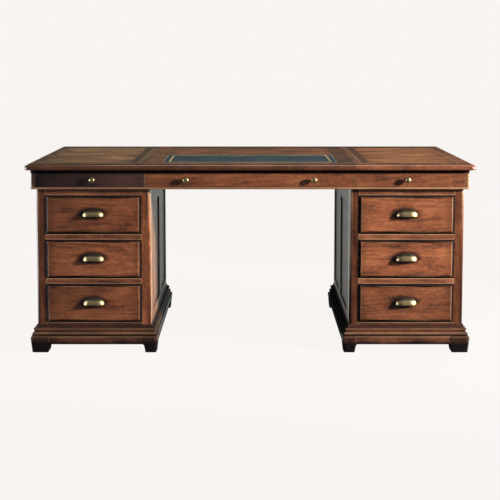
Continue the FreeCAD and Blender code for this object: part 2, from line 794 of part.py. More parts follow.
def pedestal_drawers():
    face_y = -pedestal_y - drawer_front_proud
    root_y = face_y + drawer_front_thickness
    length = drawer_bay_depth + drawer_front_proud - drawer_front_thickness - drawer_back_room
    for side_name, side in sides.items():
        x0, x1 = bay_span(side, post_width + drawer_gap)
        for tier, tier_name in enumerate(drawer_tiers):
            floor = drawer_floor(tier)
            z0, z1 = floor + drawer_gap, floor + drawer_opening_height - drawer_gap
            low = floor + running_gap
            high = floor + drawer_opening_height - drawer_side_drop
            joint = (tail_count, tail_length, tail_flare)
            box, cuts = drawer_box(x0, x1, root_y, front, length, low, high, joint)
            board = bevelled_board(x0, x1, z0, z1, root_y, front, drawer_front_thickness,
                                   drawer_edge_width, drawer_edge_depth)
            pull_x = (x0 + x1) / 2
            pull_z = (z0 + z1) / 2 - (pull_reach - pull_skirt) / 2 + pull_lift
            cuts += pull_posts(pull_x, pull_z, face_y, joint_play)
            name = side_name + "_" + tier_name + "_drawer_"
            nodes[name + "front"] = [cut_all(board, cuts)]
            nodes[name + "box"] = box
            nodes[name + "pull"] = [cup_pull(pull_x, pull_z, face_y)]


def frieze_bays():
    """Name, front span, box span and knob positions of each frieze drawer, from left to right."""
    half_cross = cross_divider_thickness / 2
    front_inner, front_outer = section_x + frieze_front_gap, frieze_end_x - frieze_front_gap
    box_inner, box_outer = section_x + half_cross + frieze_box_gap, frieze_end_x - frieze_box_gap
    end_knob = (pedestal_outer_x + pedestal_inner_x) / 2
    center_knob = section_x - center_knob_inset
    center_front = section_x - frieze_front_gap
    center_box = section_x - half_cross - frieze_box_gap
    return [("left", (-front_outer, -front_inner), (-box_outer, -box_inner), [-end_knob]),
            ("center", (-center_front, center_front), (-center_box, center_box),
             [-center_knob, center_knob]),
            ("right", (front_inner, front_outer), (box_inner, box_outer), [end_knob])]


def frieze_drawers():
    low, high = dust_board_top + running_gap, top_underside - frieze_side_drop
    z0, z1 = dust_board_top + frieze_front_gap, top_underside - frieze_front_gap
    length = frieze_y - frieze_front_thickness - long_partition_thickness / 2 - frieze_back_room
    joint = (1, frieze_housing_depth, 0)
    for end_name, end in ends.items():
        face_y = end * frieze_y
        root_y = end * (frieze_y - frieze_front_thickness)
        for bay_name, front_x, box_x, knob_places in frieze_bays():
            box, cuts = drawer_box(*box_x, root_y, end, length, low, high, joint)
            board = block(*front_x, root_y, face_y, z0, z1)
            knob_z = (z0 + z1) / 2 - frieze_knob_drop
            cuts += [knob_hole(x, knob_z, face_y, end) for x in knob_places]
            name = end_name + "_" + bay_name + "_frieze_drawer_"
            nodes[name + "front"] = [cut_all(board, cuts)]
            nodes[name + "box"] = box
            nodes[name + "knobs"] = [knob(x, knob_z, face_y, end) for x in knob_places]


# Cupboard doors

def door_span(side):
    """Hinge edge and closing edge of a rear door."""
    (outer, outer_in), (inner, inner_in) = flanks(side)
    return outer + outer_in * (post_width + hinge_gap), inner + inner_in * (post_width + door_gap)


def door_leaf(side):
    """Two stiles and two rails, tongued together, and the fielded panel in their grooves."""
    x_hinge, x_close = door_span(side)
    x0, x1 = min(x_hinge, x_close), max(x_hinge, x_close)
    z0, z1 = bottom_rail_top + door_gap, opening_top - door_gap
    face, back = pedestal_y, pedestal_y - door_thickness
    panel_face = face - door_panel_recess
    panel_back = panel_face - panel_thickness
    groove_y = (panel_back - joint_play, panel_face + joint_play)
    in0, in1 = x0 + door_stile_width, x1 - door_stile_width
    low, high = z0 + door_rail_width, z1 - door_rail_width
    tongue = panel_groove_depth - joint_play

    def rail(a, b, groove_from, groove_to):
        bar = block(in0, in1, back, face, a, b)
        tongues = block(in0 - tongue, in1 + tongue, panel_back, panel_face, a, b)
        groove = block(in0 - panel_groove_depth, in1 + panel_groove_depth, *groove_y, groove_from, groove_to)
        return joined(bar, tongues).cut(groove)

    frame = []
    for edge, inner, inward in ((x0, in0, 1), (x1, in1, -1)):
        groove = block(inner - inward * panel_groove_depth, inner + inward * cut_overrun, *groove_y,
                       z0 - cut_overrun, z1 + cut_overrun)
        frame.append(block(edge, inner, back, face, z0, z1).cut(groove))
    frame.append(rail(z0, low, low - panel_groove_depth, low + cut_overrun))
    frame.append(rail(high, z1, high - cut_overrun, high + panel_groove_depth))

    bite = panel_groove_depth - panel_room
    sheet = block(in0 - bite, in1 + bite, panel_back, panel_face, low - bite, high + bite)
    rim, inset = door_field_margin, door_field_margin + door_field_bevel
    foot_line = level_outline(in0 + rim, in1 - rim, low + rim, high - rim, panel_face)
    field_line = level_outline(in0 + inset, in1 - inset, low + inset, high - inset,
                               panel_face + door_field_rise)
    return frame, joined(sheet, Part.makeLoft([foot_line, field_line], True, True))


def hinge_axis_x(side):
    outer, inward = flanks(side)[0]
    return outer + inward * (post_width + hinge_gap / 2)


def hinge_heights():
    """Middle height of each hinge of a door."""
    offset = door_gap + hinge_end_distance + hinge_length / 2
    return [bottom_rail_top + offset, opening_top - offset]


def hinge_half(side, z, fixed):
    """A hinge leaf with its knuckles: two outer ones on the post, the middle one on the door."""
    outer, inward = flanks(side)[0]
    half = hinge_length / 2
    middle = half * hinge_knuckle_share
    if fixed:
        x0 = outer + inward * post_width
        x1 = x0 + inward * hinge_leaf_thickness
        spans = [(-half, -middle - running_gap), (middle + running_gap, half)]
    else:
        x0 = outer + inward * (post_width + hinge_gap)
        x1 = x0 - inward * hinge_leaf_thickness
        spans = [(-middle, middle)]
    axis_x = hinge_axis_x(side)
    knuckles = []
    for a, b in spans:
        knuckles.append(block(x0, x1, pedestal_y, hinge_axis_y, z + a, z + b))
        foot_point = Vector(axis_x, hinge_axis_y, z + a)
        knuckles.append(Part.makeCylinder(hinge_barrel_diameter / 2, b - a, foot_point))
    leaf = block(x0, x1, pedestal_y - hinge_leaf_width, pedestal_y, z - half, z + half)
    return joined(leaf, *knuckles).cut(hinge_pin(side, z, joint_play))


def hinge_pin(side, z, play):
    foot_point = Vector(hinge_axis_x(side), hinge_axis_y, z - hinge_length / 2)
    return Part.makeCylinder(hinge_pin_diameter / 2 + play, hinge_length, foot_point)


def cupboard_doors():
    fixed_leaves = []
    for side_name, side in sides.items():
        frame, panel = door_leaf(side)
        knob_x = door_span(side)[1] + side * door_stile_width / 2
        knob_z = (bottom_rail_top + opening_top) / 2
        hole = knob_hole(knob_x, knob_z, pedestal_y, rear)
        hardware = [knob(knob_x, knob_z, pedestal_y, rear)]
        for z in hinge_heights():
            hardware += [hinge_half(side, z, False), hinge_pin(side, z, 0)]
            fixed_leaves.append(hinge_half(side, z, True))
        nodes[side_name + "_door_frame"] = [piece.cut(hole) for piece in frame]
        nodes[side_name + "_door_panel"] = [panel]
        nodes[side_name + "_door_hardware"] = hardware
    nodes["hinge_fixed_leaves"] = fixed_leaves


os.makedirs("parts", exist_ok=True)
top_sections()
frieze_carcass()
pedestal_carcass()
pedestal_base()
pedestal_drawers()
frieze_drawers()
cupboard_doors()
for node_name, node_solids in nodes.items():
    shape = node_solids[0] if len(node_solids) == 1 else Part.makeCompound(node_solids)
    shape.exportStep("parts/" + node_name + ".step")
print(len(nodes), "nodes written")
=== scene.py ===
# %% [markdown]
# # A partners desk
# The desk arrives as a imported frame: every board, drawer, hinge and pull is already in its place and at its
# real size. This lesson gives those pieces their finish. It eases the edges of the boards, lays veneer and
# leather on the top, casts the brass, and lights the desk for its portrait. Nothing is moved on the way.

# %% Load the frame
import json
import math
import random

import bmesh
import bpy
import numpy as np
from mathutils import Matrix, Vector


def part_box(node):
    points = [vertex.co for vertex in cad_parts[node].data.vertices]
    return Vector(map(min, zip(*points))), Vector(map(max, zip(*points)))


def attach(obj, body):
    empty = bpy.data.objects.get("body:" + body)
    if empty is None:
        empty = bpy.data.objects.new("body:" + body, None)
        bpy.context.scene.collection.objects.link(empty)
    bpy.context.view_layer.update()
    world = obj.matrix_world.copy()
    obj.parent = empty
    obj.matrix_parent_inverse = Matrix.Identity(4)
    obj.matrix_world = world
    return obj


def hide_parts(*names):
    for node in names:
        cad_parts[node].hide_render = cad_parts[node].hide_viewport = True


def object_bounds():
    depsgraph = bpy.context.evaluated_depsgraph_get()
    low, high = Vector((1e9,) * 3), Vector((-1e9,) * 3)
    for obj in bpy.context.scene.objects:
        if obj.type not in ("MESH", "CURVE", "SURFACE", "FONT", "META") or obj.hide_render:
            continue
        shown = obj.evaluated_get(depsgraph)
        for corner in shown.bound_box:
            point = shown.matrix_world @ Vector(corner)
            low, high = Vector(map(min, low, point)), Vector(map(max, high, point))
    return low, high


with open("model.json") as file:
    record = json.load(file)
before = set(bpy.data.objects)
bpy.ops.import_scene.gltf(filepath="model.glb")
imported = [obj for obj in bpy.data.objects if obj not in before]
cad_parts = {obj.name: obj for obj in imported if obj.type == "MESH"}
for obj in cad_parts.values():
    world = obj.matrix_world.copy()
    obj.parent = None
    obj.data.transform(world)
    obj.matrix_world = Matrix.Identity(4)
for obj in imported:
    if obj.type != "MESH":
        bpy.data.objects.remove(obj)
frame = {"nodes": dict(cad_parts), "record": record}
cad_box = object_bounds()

MM = 0.001

# %% [markdown]
# ## The camera
# A portrait of furniture is taken from a little above the top, with a long lens, so that the uprights stay
# nearly upright. Part of the downward look comes from the lens shift and the rest from a small tilt. A larger
# shift would keep the uprights exact, but it would push the desk out of the frame seen from other sides.

# %% Set up the camera
def shown(name, data):
    """A new object in the scene."""
    thing = bpy.data.objects.new(name, data)
    bpy.context.scene.collection.objects.link(thing)
    return thing


camera_place = Vector((0.0, -4.863, 1.195))
camera_tilt = math.radians(5.08)
camera_data = bpy.data.cameras.new("portrait_camera")
camera_data.sensor_width = 36.0
camera_data.lens = 80.48
camera_data.shift_y = -0.19
camera = shown("portrait_camera", camera_data)
camera.location = camera_place
camera.rotation_euler = (math.pi / 2 - camera_tilt, 0.0, 0.0)
bpy.context.scene.camera = camera
bpy.context.scene.view_settings.view_transform = "Standard"
print("camera at", camera_place, "tilted down", round(math.degrees(camera_tilt), 2), "degrees")

# %% [markdown]
# ## Node trees as formulas
# Node trees are tedious to write out link by link. Two small classes help. A Socket stands for one output,
# and arithmetic on it adds Math nodes, so a formula reads as a formula. A Tree adds any other node through one
# method, which takes its type, its settings and what its sockets receive.

# %% Define the node helpers
def both_ways(operation):
    """Two methods that add one Math node: with the socket first, and reflected, with the socket second."""
    def first(self, value):
        return self.maths(operation, self, value)

    def second(self, value):
        return self.maths(operation, value, self)

    return first, second


class Socket:
    """One output of a node. Operators on it add Math nodes to its tree."""

    __add__, __radd__ = both_ways("ADD")
    __sub__, __rsub__ = both_ways("SUBTRACT")
    __mul__, __rmul__ = both_ways("MULTIPLY")
    __truediv__, __rtruediv__ = both_ways("DIVIDE")
    __pow__, __rpow__ = both_ways("POWER")
    lesser = both_ways("MINIMUM")[0]
    greater = both_ways("MAXIMUM")[0]

    def __init__(self, tree, output):
        self.tree, self.output = tree, output

    def maths(self, operation, *values):
        return self.tree.node("ShaderNodeMath", {"operation": operation}, dict(enumerate(values)))

    def __abs__(self):
        return self.maths("ABSOLUTE", self)

    def wave(self):
        return self.maths("SINE", self)


class Tree:
    """A node tree of any kind that is filled through one method."""

    def __init__(self, nodes):
        self.nodes = nodes

    def plug(self, target, value):
        """Link a socket, or a list of them, into an input, or set the input to a constant."""
        if isinstance(value, list):
            for each in value:
                self.plug(target, each)
        elif isinstance(value, Socket):
            self.nodes.links.new(value.output, target)
        else:
            target.default_value = value

    def node(self, kind, settings=None, inputs=None, output=0):
        made = self.nodes.nodes.new(kind)
        for name, value in (settings or {}).items():
            setattr(made, name, value)
        for name, value in (inputs or {}).items():
            self.plug(made.inputs[name], value)
        return Socket(self, made.outputs[output]) if made.outputs else made

    def ramp(self, share, *stops):
        """A colour ramp with its stops, each a place and a colour."""
        made = self.node("ShaderNodeValToRGB", None, {"Fac": share}, "Color")
        elements = made.output.node.color_ramp.elements
        while len(elements) < len(stops):
            elements.new(1.0)
        for element, (place, colour) in zip(elements, stops):
            element.position, element.color = place, (*colour, 1.0)
        return made

    def split(self, vector):
        parts = self.node("ShaderNodeSeparateXYZ", None, {0: vector}).output.node.outputs
        return [Socket(self, part) for part in parts]

    def combine(self, x, y, z):
        return self.node("ShaderNodeCombineXYZ", None, {"X": x, "Y": y, "Z": z})

    def scaled(self, vector, factor):
        return self.node("ShaderNodeVectorMath", {"operation": "SCALE"}, {0: vector, "Scale": factor})

    def smooth(self, value, start, stop):
        """0 below start, 1 above stop, and an S-shaped rise between them."""
        return self.node("ShaderNodeMapRange", {"interpolation_type": "SMOOTHSTEP"},
                         {"Value": value, "From Min": start, "From Max": stop})

    def blend(self, share, first, second):
        """Mix two colours. The colour sockets of a Mix node are numbers 6 and 7, and its result is number 2."""
        return self.node("ShaderNodeMix", {"data_type": "RGBA"}, {0: share, 6: first, 7: second}, 2)

    def noise(self, vector, along, across, detail=2.0, roughness=0.5):
        """Noise from 0 to 1, in cells per metre along the first axis and across it."""
        stretched = self.node("ShaderNodeVectorMath", {"operation": "MULTIPLY"},
                              {0: vector, 1: (along, across, across)})
        return self.node("ShaderNodeTexNoise", None, {"Vector": stretched, "Scale": 1.0, "Detail": detail,
                                                      "Roughness": roughness}, "Fac")


class Finish(Tree):
    """A material with one main shader."""

    def __init__(self, name):
        self.material = bpy.data.materials.new(name)
        self.material.use_nodes = True
        super().__init__(self.material.node_tree)
        self.shader = self.nodes.nodes["Principled BSDF"]

    def attribute(self, name, output="Fac"):
        return self.node("ShaderNodeAttribute", {"attribute_name": name}, None, output)

    def place(self):
        """Where a point lies on the desk, in metres."""
        return self.node("ShaderNodeTexCoord", None, None, "Object")

    def give(self, **sockets):
        """Set the main shader's sockets, named with underscores for spaces."""
        for name, value in sockets.items():
            self.plug(self.shader.inputs[name.replace("_", " ")], value)

    def relief(self, height, depth, strength):
        """Bend the surface by a height from 0 to 1 that stands for a real depth in metres."""
        bump = self.node("ShaderNodeBump", None, {"Height": height, "Distance": depth, "Strength": strength})
        self.give(Normal=bump)

    def matte_over(self, share, colour):
        """Cover the main shader with a matte colour where the share is 1, for dirt and for painted shade."""
        dirt_and_shade = self.node("ShaderNodeBsdfDiffuse", None, {"Color": colour})
        clean = Socket(self, self.shader.outputs["BSDF"])
        mixed = self.node("ShaderNodeMixShader", None, {0: share, 1: clean, 2: dirt_and_shade})
        self.plug(self.nodes.nodes["Material Output"].inputs["Surface"], mixed)


print("node helpers ready")

# %% [markdown]
# ## Polished wood
# Each board was cut from its own place in a log, so its figure follows the board and not the room. The boards
# carry their own coordinates as attributes: along the grain, across it and through it. One finish can then
# draw growth rings, streaks, mottling and pores on every board in its own direction. Rings are distances from
# a pith beside the board, which gives the pointed cathedral figure of a plain-sawn front.
#
# Age shows in glaze that has darkened towards the ends and sides of a board. A matte black, a shader of its
# own,
# is laid over the wood in several places: in hollows and inner corners as painted shade, towards the floor, on
# the darkest boards as painted shade in the base of the kneehole, in the border of a drawer front partly as
# dark glaze and partly as painted shade of the gap round it, and under an overhang as a painted shadow. Along
# arrises and rounded corners pale bare wood is painted, partly as rubbed wear and partly as a painted highlight
# where they catch the light. The attribute named wear says where: it is above 0 along an arris and below 0 in
# an inner corner, where it paints shade.

# %% Define the wood finish
log_offsets = (9.0, 5.0, 3.0)
ring_waves, pith_depth, pith_slant = 430.0, 45 * MM, 0.09
side_glaze_reach, end_glaze_reach = 26 * MM, 50 * MM
dark_below_height, full_colour_height = 34 * MM, 54 * MM
black_tone, full_colour_tone = 0.05, 0.25
grime_and_shadow_middle, grime_and_shadow_size = (-5 * MM, 5 * MM), (58 * MM, 27 * MM)
grain_depth = 0.3 * MM
bare_wood_and_highlight = (0.44, 0.30, 0.18)
dirt_and_shade_colour = (0.006, 0.005, 0.007, 1.0)


def wood_finish(name, colours, glaze, gloss, moulding=None, crown=None, bold=0.0):
    """Polished hardwood, its colours from dark to light. Glaze darkens its edges. A moulding's width paints the
    sloping border of a drawer front black, partly dark glaze and partly painted shade of the gap round it, with
    a pale line inside it, partly wear and partly a painted highlight, and a dark halo round its pull, partly
    grime and partly the pull's painted shadow. A crown's width paints a black painted shadow on the upper edge
    of a board under an overhang. A bold figure has broad streaks."""
    finish = Finish(name)
    seed, tone, wear = [finish.attribute(label) for label in ("seed", "tone", "wear")]
    board = finish.split(finish.attribute("board", "Vector"))
    along, across, through = board
    half_along, half_across, _ = finish.split(finish.attribute("half", "Vector"))
    height = finish.split(finish.place())[2]

    log = finish.combine(*[part + seed * offset for part, offset in zip(board, log_offsets)])
    wander = finish.noise(log, 1.8, 8.0) - 0.5
    mottle = finish.noise(log, 9.0, 16.0, 4.0, 0.6)
    streak = finish.noise(log, 1.2, 36.0, 4.0, 0.55)
    thread = finish.noise(log, 6.0, 260.0, 3.0)
    fleck = finish.noise(log, 90.0, 420.0)
    curl = finish.noise(log, 60.0, 130.0, 3.0, 0.6)
    stain = finish.smooth(finish.noise(log, 8.0, 17.0, 3.0, 0.6), 0.55, 0.74)
    pores = finish.smooth(finish.noise(log, 32.0, 1100.0, 1.0), 0.58, 0.72)
    uneven = mottle - 0.5
    cloud = uneven * 0.02

    sideways = across + wander * 0.10 + (seed - 0.5) * 0.12
    inward = through + along * pith_slant + wander * 0.03 + pith_depth
    radius = (sideways * sideways + inward * inward) ** 0.5
    rings = (radius * ring_waves + mottle * 2.0).wave()
    figure = streak * 0.45 + thread * 0.30 + fleck * 0.25 + curl * 0.50 + mottle * 0.60 + rings * 0.045 - 0.55
    if bold:
        figure = figure + (finish.noise(log, 4.0, 13.0, 3.0, 0.6) - 0.5) * bold
    deep, body, glow = colours
    colour = finish.ramp(figure, (0.25, deep), (0.5, body), (0.78, glow))

    from_side, from_end = half_across - abs(across), half_along - abs(along)
    inner = finish.smooth((from_side + cloud) / (half_across * 0.7).lesser(side_glaze_reach), 0.0, 1.0)
    inner = inner * finish.smooth((from_end + cloud) / end_glaze_reach, 0.0, 1.0)
    shade = tone * (1.0 - pores * 0.25) * (1.0 - glaze * (1.0 - inner)) * (1.0 - stain * 0.3)
    # Black towards the floor, fading out higher up.
    dirt_and_shade = 1.0 - finish.smooth(height + cloud, dark_below_height, full_colour_height)
    # Painted shade: black in hollows and inner corners, where wear is below 0.
    dirt_and_shade = dirt_and_shade.greater(finish.smooth(wear * -1.0, 0.1, 1.0) * 0.8)
    # Painted shade: boards of the lowest tones go black, which blackens the base inside the kneehole.
    dirt_and_shade = dirt_and_shade.greater(1.0 - finish.smooth(tone, black_tone, full_colour_tone))
    if moulding:
        from_edge = from_side.lesser(from_end)
        # Painted shade of the gap round a drawer front, partly dark glaze: the sloping border goes black.
        dirt_and_shade = dirt_and_shade.greater(1.0 - finish.smooth(from_edge, moulding * 0.55, moulding * 0.8))
        # A pale line inside the border: partly wear, partly a painted highlight where the arris catches the
        # light.
        rubbed = finish.smooth(from_edge, moulding * 0.7, moulding * 0.95)
        rubbed = rubbed - finish.smooth(from_edge, moulding * 1.15, moulding * 1.45)
        # A dark halo round the pull, set a little low and to the left: partly grime, partly the pull's painted
        # shadow.
        pull = finish.combine((along - grime_and_shadow_middle[0]) / grime_and_shadow_size[0],
                              (across - grime_and_shadow_middle[1]) / grime_and_shadow_size[1], 0.0)
        ring = finish.node("ShaderNodeVectorMath", {"operation": "LENGTH"}, {0: pull}, "Value")
        grime_and_shadow = 1.0 - finish.smooth(ring + uneven * 0.4, 0.75, 1.25)
        shade = shade * (1.0 + rubbed * 0.45) * (1.0 - grime_and_shadow * 0.85)
    if crown:
        # Painted shadow: black along the upper edge of a board under the overhang of the top.
        under = across + cloud * 0.3 + crown * 1.3 - half_across
        dirt_and_shade = dirt_and_shade.greater(finish.smooth(under, 0.0, crown * 0.6))
    # Pale bare wood where wear is above 0: partly rubbed wear, partly a painted highlight on arrises and
    # rounded corners.
    bare = finish.scaled(bare_wood_and_highlight, tone * 0.6 + 0.4)
    colour = finish.blend((wear * (mottle + 0.4)).greater(0.0), finish.scaled(colour, shade), bare)

    finish.give(Base_Color=colour, Roughness=gloss + uneven * 0.12 + pores * 0.15)
    finish.give(Coat_Weight=0.22, Coat_Roughness=0.16, Specular_IOR_Level=0.45)
    # The matte black layer: dirt, and painted shade in hollows, in the gaps round drawer fronts, in the
    # kneehole and under the overhang.
    finish.matte_over(dirt_and_shade * 0.94, dirt_and_shade_colour)
    finish.relief(thread * 0.5 - pores * 0.6, grain_depth, 0.25)
    return finish.material


print("bare wood shows through as", bare_wood_and_highlight)

# %% Mix the wood finishes
drawer_moulding = 10.5 * MM
top_shadow = 14 * MM
top_figure = 1.1
front_colours = ((0.045, 0.018, 0.012), (0.200, 0.064, 0.028), (0.340, 0.124, 0.054))
carcass_colours = ((0.040, 0.015, 0.010), (0.170, 0.056, 0.026), (0.290, 0.108, 0.050))
panel_colours = ((0.045, 0.021, 0.012), (0.180, 0.068, 0.030), (0.300, 0.125, 0.056))
smoked_colours = ((0.016, 0.011, 0.013), (0.058, 0.026, 0.024), (0.125, 0.046, 0.034))
# Olive colours for the left end of the top paint the sheen of its polish there: a painted reflection.
olive_sheen_colours = ((0.060, 0.030, 0.013), (0.200, 0.098, 0.042), (0.330, 0.180, 0.078))
top_colours = ((0.070, 0.025, 0.010), (0.230, 0.085, 0.030), (0.360, 0.150, 0.055))
lining_colours = ((0.220, 0.120, 0.055), (0.400, 0.240, 0.115), (0.540, 0.360, 0.190))
string_colours = ((0.360, 0.230, 0.105), (0.540, 0.380, 0.190), (0.680, 0.510, 0.290))

carcass_wood = wood_finish("polished_carcass_wood", carcass_colours, 0.50, 0.36)
frame_wood = wood_finish("waxed_frame_wood", carcass_colours, 0.50, 0.17)
panel_wood = wood_finish("worn_panel_wood", panel_colours, 0.45, 0.58)
drawer_wood = wood_finish("polished_drawer_wood", front_colours, 0.40, 0.34, moulding=drawer_moulding)
frieze_wood = wood_finish("polished_frieze_wood", front_colours, 0.15, 0.34, crown=top_shadow)
smoked_wood = wood_finish("smoked_frieze_wood", smoked_colours, 0.15, 0.34, crown=top_shadow)
olive_sheen_wood = wood_finish("olive_top_wood", olive_sheen_colours, 0.25, 0.44, bold=top_figure)
top_wood = wood_finish("polished_top_wood", top_colours, 0.25, 0.44, bold=top_figure)
edge_wood = wood_finish("moulded_edge_wood", front_colours, 0.25, 0.36)
inner_wood = wood_finish("drawer_lining_wood", lining_colours, 0.12, 0.55)
string_wood = wood_finish("string_inlay_wood", string_colours, 0.0, 0.40)
print("wood finishes:", len(bpy.data.materials))

# %% [markdown]
# ## Boards
# The frame's meshes are loose triangles with hard edges. A real board has its arrises eased with a pass of
# sandpaper, and that narrow rounding is what catches the light. Each node is copied solid by solid: triangles
# are gathered until every edge has met its partner, which is where a closed solid ends. The copy is welded,
# its flat faces are joined up, and its arrises are rounded. A narrow border set into every wide face lets the
# wear fade out. Normals weighted by face area keep flat faces flat beside those roundings.

# %% Read the solids of a node
def solids_of(node):
    """The closed solids of a node, each as a list of triangles of points."""
    mesh = frame["nodes"][node].data
    points = [tuple(round(c, 6) for c in vertex.co) for vertex in mesh.vertices]
    solids, current, unmatched = [], [], set()
    for face in mesh.polygons:
        corners = [points[i] for i in face.vertices]
        if len(set(corners)) < 3:
            continue
        current.append(corners)
        for a, b in zip(corners, corners[1:] + corners[:1]):
            if (b, a) in unmatched:
                unmatched.remove((b, a))
            else:
                unmatched.add((a, b))
        if not unmatched:
            solids.append(current)
            current = []
    return solids


def box_round(points):
    """Lowest and highest corner of the box round some points, or round lists of points."""
    points = np.reshape(points, (-1, 3))
    return Vector(points.min(0)), Vector(points.max(0))


print("side panels:", len(solids_of("side_panels")), "solids")

# %% Ease the arrises of a solid
flat_angle = math.radians(0.6)
curved_angle = math.radians(2)
sharp_angle = math.radians(30)
# Wear of a curved hollow, which paints shade, and of a rounded corner, which is partly a painted highlight.
hollow_shade, round_wear_and_highlight = -0.75, 0.35
wear_reach = 2.6 * MM
wide_share = 1.4


def level_faces(solid, left_out):
    """Groups of faces that lie in one plane and join each other, such as a flat face split by a hole."""
    groups, seen = [], set(left_out)
    for first in solid.faces:
        if first in seen:
            continue
        seen.add(first)
        group, waiting = [], [first]
        while waiting:
            face = waiting.pop()
            group.append(face)
            for edge in face.edges:
                for other in edge.link_faces:
                    if other not in seen and other.normal.angle(face.normal, math.pi) < flat_angle:
                        seen.add(other)
                        waiting.append(other)
        groups.append(group)
    return groups


def eased(triangles, radius):
    """One solid as a bmesh with flat faces joined up, arrises rounded, and its wear noted at every point: above
    0 on arrises, below 0 in hollows, where it paints shade.
    """
    solid = bmesh.new()
    wear = solid.verts.layers.float.new("wear")
    corners = {}
    for triangle in triangles:
        for point in triangle:
            if point not in corners:
                corners[point] = solid.verts.new(point)
        solid.faces.new([corners[point] for point in triangle])
    bmesh.ops.dissolve_limit(solid, angle_limit=flat_angle, verts=solid.verts, edges=solid.edges)
    turns = [(edge, edge.calc_face_angle_signed()) for edge in solid.edges if edge.is_manifold]
    for edge, turn in turns:
        for vertex in edge.verts:
            # A hollow gets wear below 0, where the wood finish paints shade.
            if turn < -curved_angle:
                vertex[wear] = min(vertex[wear], -1.0 if turn < -sharp_angle else hollow_shade)
            # A rounded corner gets pale wear, partly a painted highlight.
            elif curved_angle < turn < sharp_angle and vertex[wear] >= 0:
                vertex[wear] = round_wear_and_highlight
    arrises = [edge for edge, turn in turns if turn > sharp_angle]
    rounded_off = bmesh.ops.bevel(solid, geom=arrises, offset=radius, segments=2, profile=0.5, affect="EDGES",
                                  clamp_overlap=True)["faces"]
    for face in rounded_off:
        for vertex in face.verts:
            if vertex[wear] >= 0:
                vertex[wear] = 1.0
    for level in level_faces(solid, set(rounded_off)):
        area = sum(face.calc_area() for face in level)
        if area > wide_share * wear_reach * max(face.calc_perimeter() for face in level):
            bmesh.ops.inset_region(solid, faces=level, thickness=wear_reach, use_boundary=True,
                                   use_even_offset=True)
            for face in level:
                for vertex in face.verts:
                    vertex[wear] = 0.0
    return solid


print("wear fades out within", round(wear_reach / MM, 1), "mm of an arris")

# %% Gather boards into a piece
tone_spread = 0.08
crease_angle = math.radians(50)


def joined(name, solids):
    """One mesh of several solids."""
    points, faces = [], []
    for solid in solids:
        start = len(points)
        solid.verts.index_update()
        points += [vertex.co.copy() for vertex in solid.verts]
        faces += [[start + vertex.index for vertex in face.verts] for face in solid.faces]
        solid.free()
    mesh = bpy.data.meshes.new(name)
    mesh.from_pydata(points, [], faces)
    return mesh


def note(mesh, label, values):
    """Give each point of a mesh a number or a vector of its own."""
    values = np.array(values, np.float32)
    kind, field = ("FLOAT_VECTOR", "vector") if values.ndim > 1 else ("FLOAT", "value")
    mesh.attributes.new(label, kind, "POINT").data.foreach_set(field, values.ravel())


def placed(name, mesh, material, body, slot, *nodes):
    """A finished piece at the origin, riding on its body in place of its nodes."""
    mesh.polygons.foreach_set("use_smooth", [True] * len(mesh.polygons))
    mesh.set_sharp_from_angle(angle=crease_angle)
    mesh.materials.clear()
    mesh.materials.append(material)
    piece = shown(name, mesh)
    shading = piece.modifiers.new("flat_faces", "WEIGHTED_NORMAL")
    shading.keep_sharp = True
    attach(piece, body)
    if nodes:
        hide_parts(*nodes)
    return piece


class Boards:
    """Gathers solids into one piece, and notes for each point where it lies in its own board."""

    def __init__(self, name):
        self.name, self.solids = name, []
        self.notes = {label: [] for label in ("board", "half", "tone", "seed", "wear")}
        self.random = random.Random(name)

    def add(self, solid, tone=1.0, grain=None, drift=0.0):
        """Take in a solid. Its grain follows an axis, or else its longest side. A drift makes the tone rise
        from its left end to its right end."""
        low, high = box_round([vertex.co for vertex in solid.verts])
        order = sorted(range(3), key=lambda axis: (axis != grain, low[axis] - high[axis]))
        middle, reach = (low + high) / 2, (high - low) / 2
        tone = tone * self.random.uniform(1 - tone_spread, 1 + tone_spread)
        seed = self.random.random()
        worn = solid.verts.layers.float.get("wear")
        for vertex in solid.verts:
            place = vertex.co - middle
            notes = {"board": [place[i] for i in order], "half": [reach[i] for i in order], "seed": seed,
                     "tone": tone * (1.0 + drift * place.x / reach.x), "wear": vertex[worn] if worn else 0.0}
            for label, value in notes.items():
                self.notes[label].append(value)
        self.solids.append(solid)

    def build(self, material, body, slot, *nodes):
        """Make the object, and let it ride on its body in place of the nodes that it stands for."""
        mesh = joined(self.name, self.solids)
        for label, values in self.notes.items():
            note(mesh, label, values)
        return placed(self.name, mesh, material, body, slot, *nodes)


body_of = {node: body for body, nodes in frame["record"]["behaviour"]["bodies"].items() for node in nodes}
print("carcass has", sum(body == "carcass" for body in body_of.values()), "nodes")

# %% [markdown]
# ## The carcass and the drawers
# The left pedestal of this desk is toned a little darker than the right one, partly as a darker stain and
# partly as painted shade where the light falls off to the left, and the left frieze drawer is the darkest front
# of all.
# The base inside the kneehole is toned so low that it goes black, as painted shade in the recess, and the flank
# that faces the strong light has darker boards, a painted shade that holds its light down. The tone of a board
# therefore depends on where it stands. So do its pale arrises: the kneehole sides of the front posts are
# painted pale, partly as wear from knees and chairs and partly as painted light, a lit strip on the left post
# and a painted highlight on the right one, and the mouldings near the floor hardly at all.

# %% Set the tone and wear of each board
edge_ease, thin_ease = 0.8 * MM, 0.5 * MM
# Tone and drift of each drawer front
front_looks = {"left_top": (0.72, 0.12), "left_middle": (1.02, 0.15), "left_bottom": (0.66, 0.15),
               "right_top": (0.88, -0.10), "right_middle": (0.86, 0.0), "right_bottom": (0.63, 0.0),
               "front_left_frieze": (0.75, 0.75), "front_center_frieze": (0.80, 0.05),
               "front_right_frieze": (0.68, 0.0)}
plain_look = (1.0, 0.0)
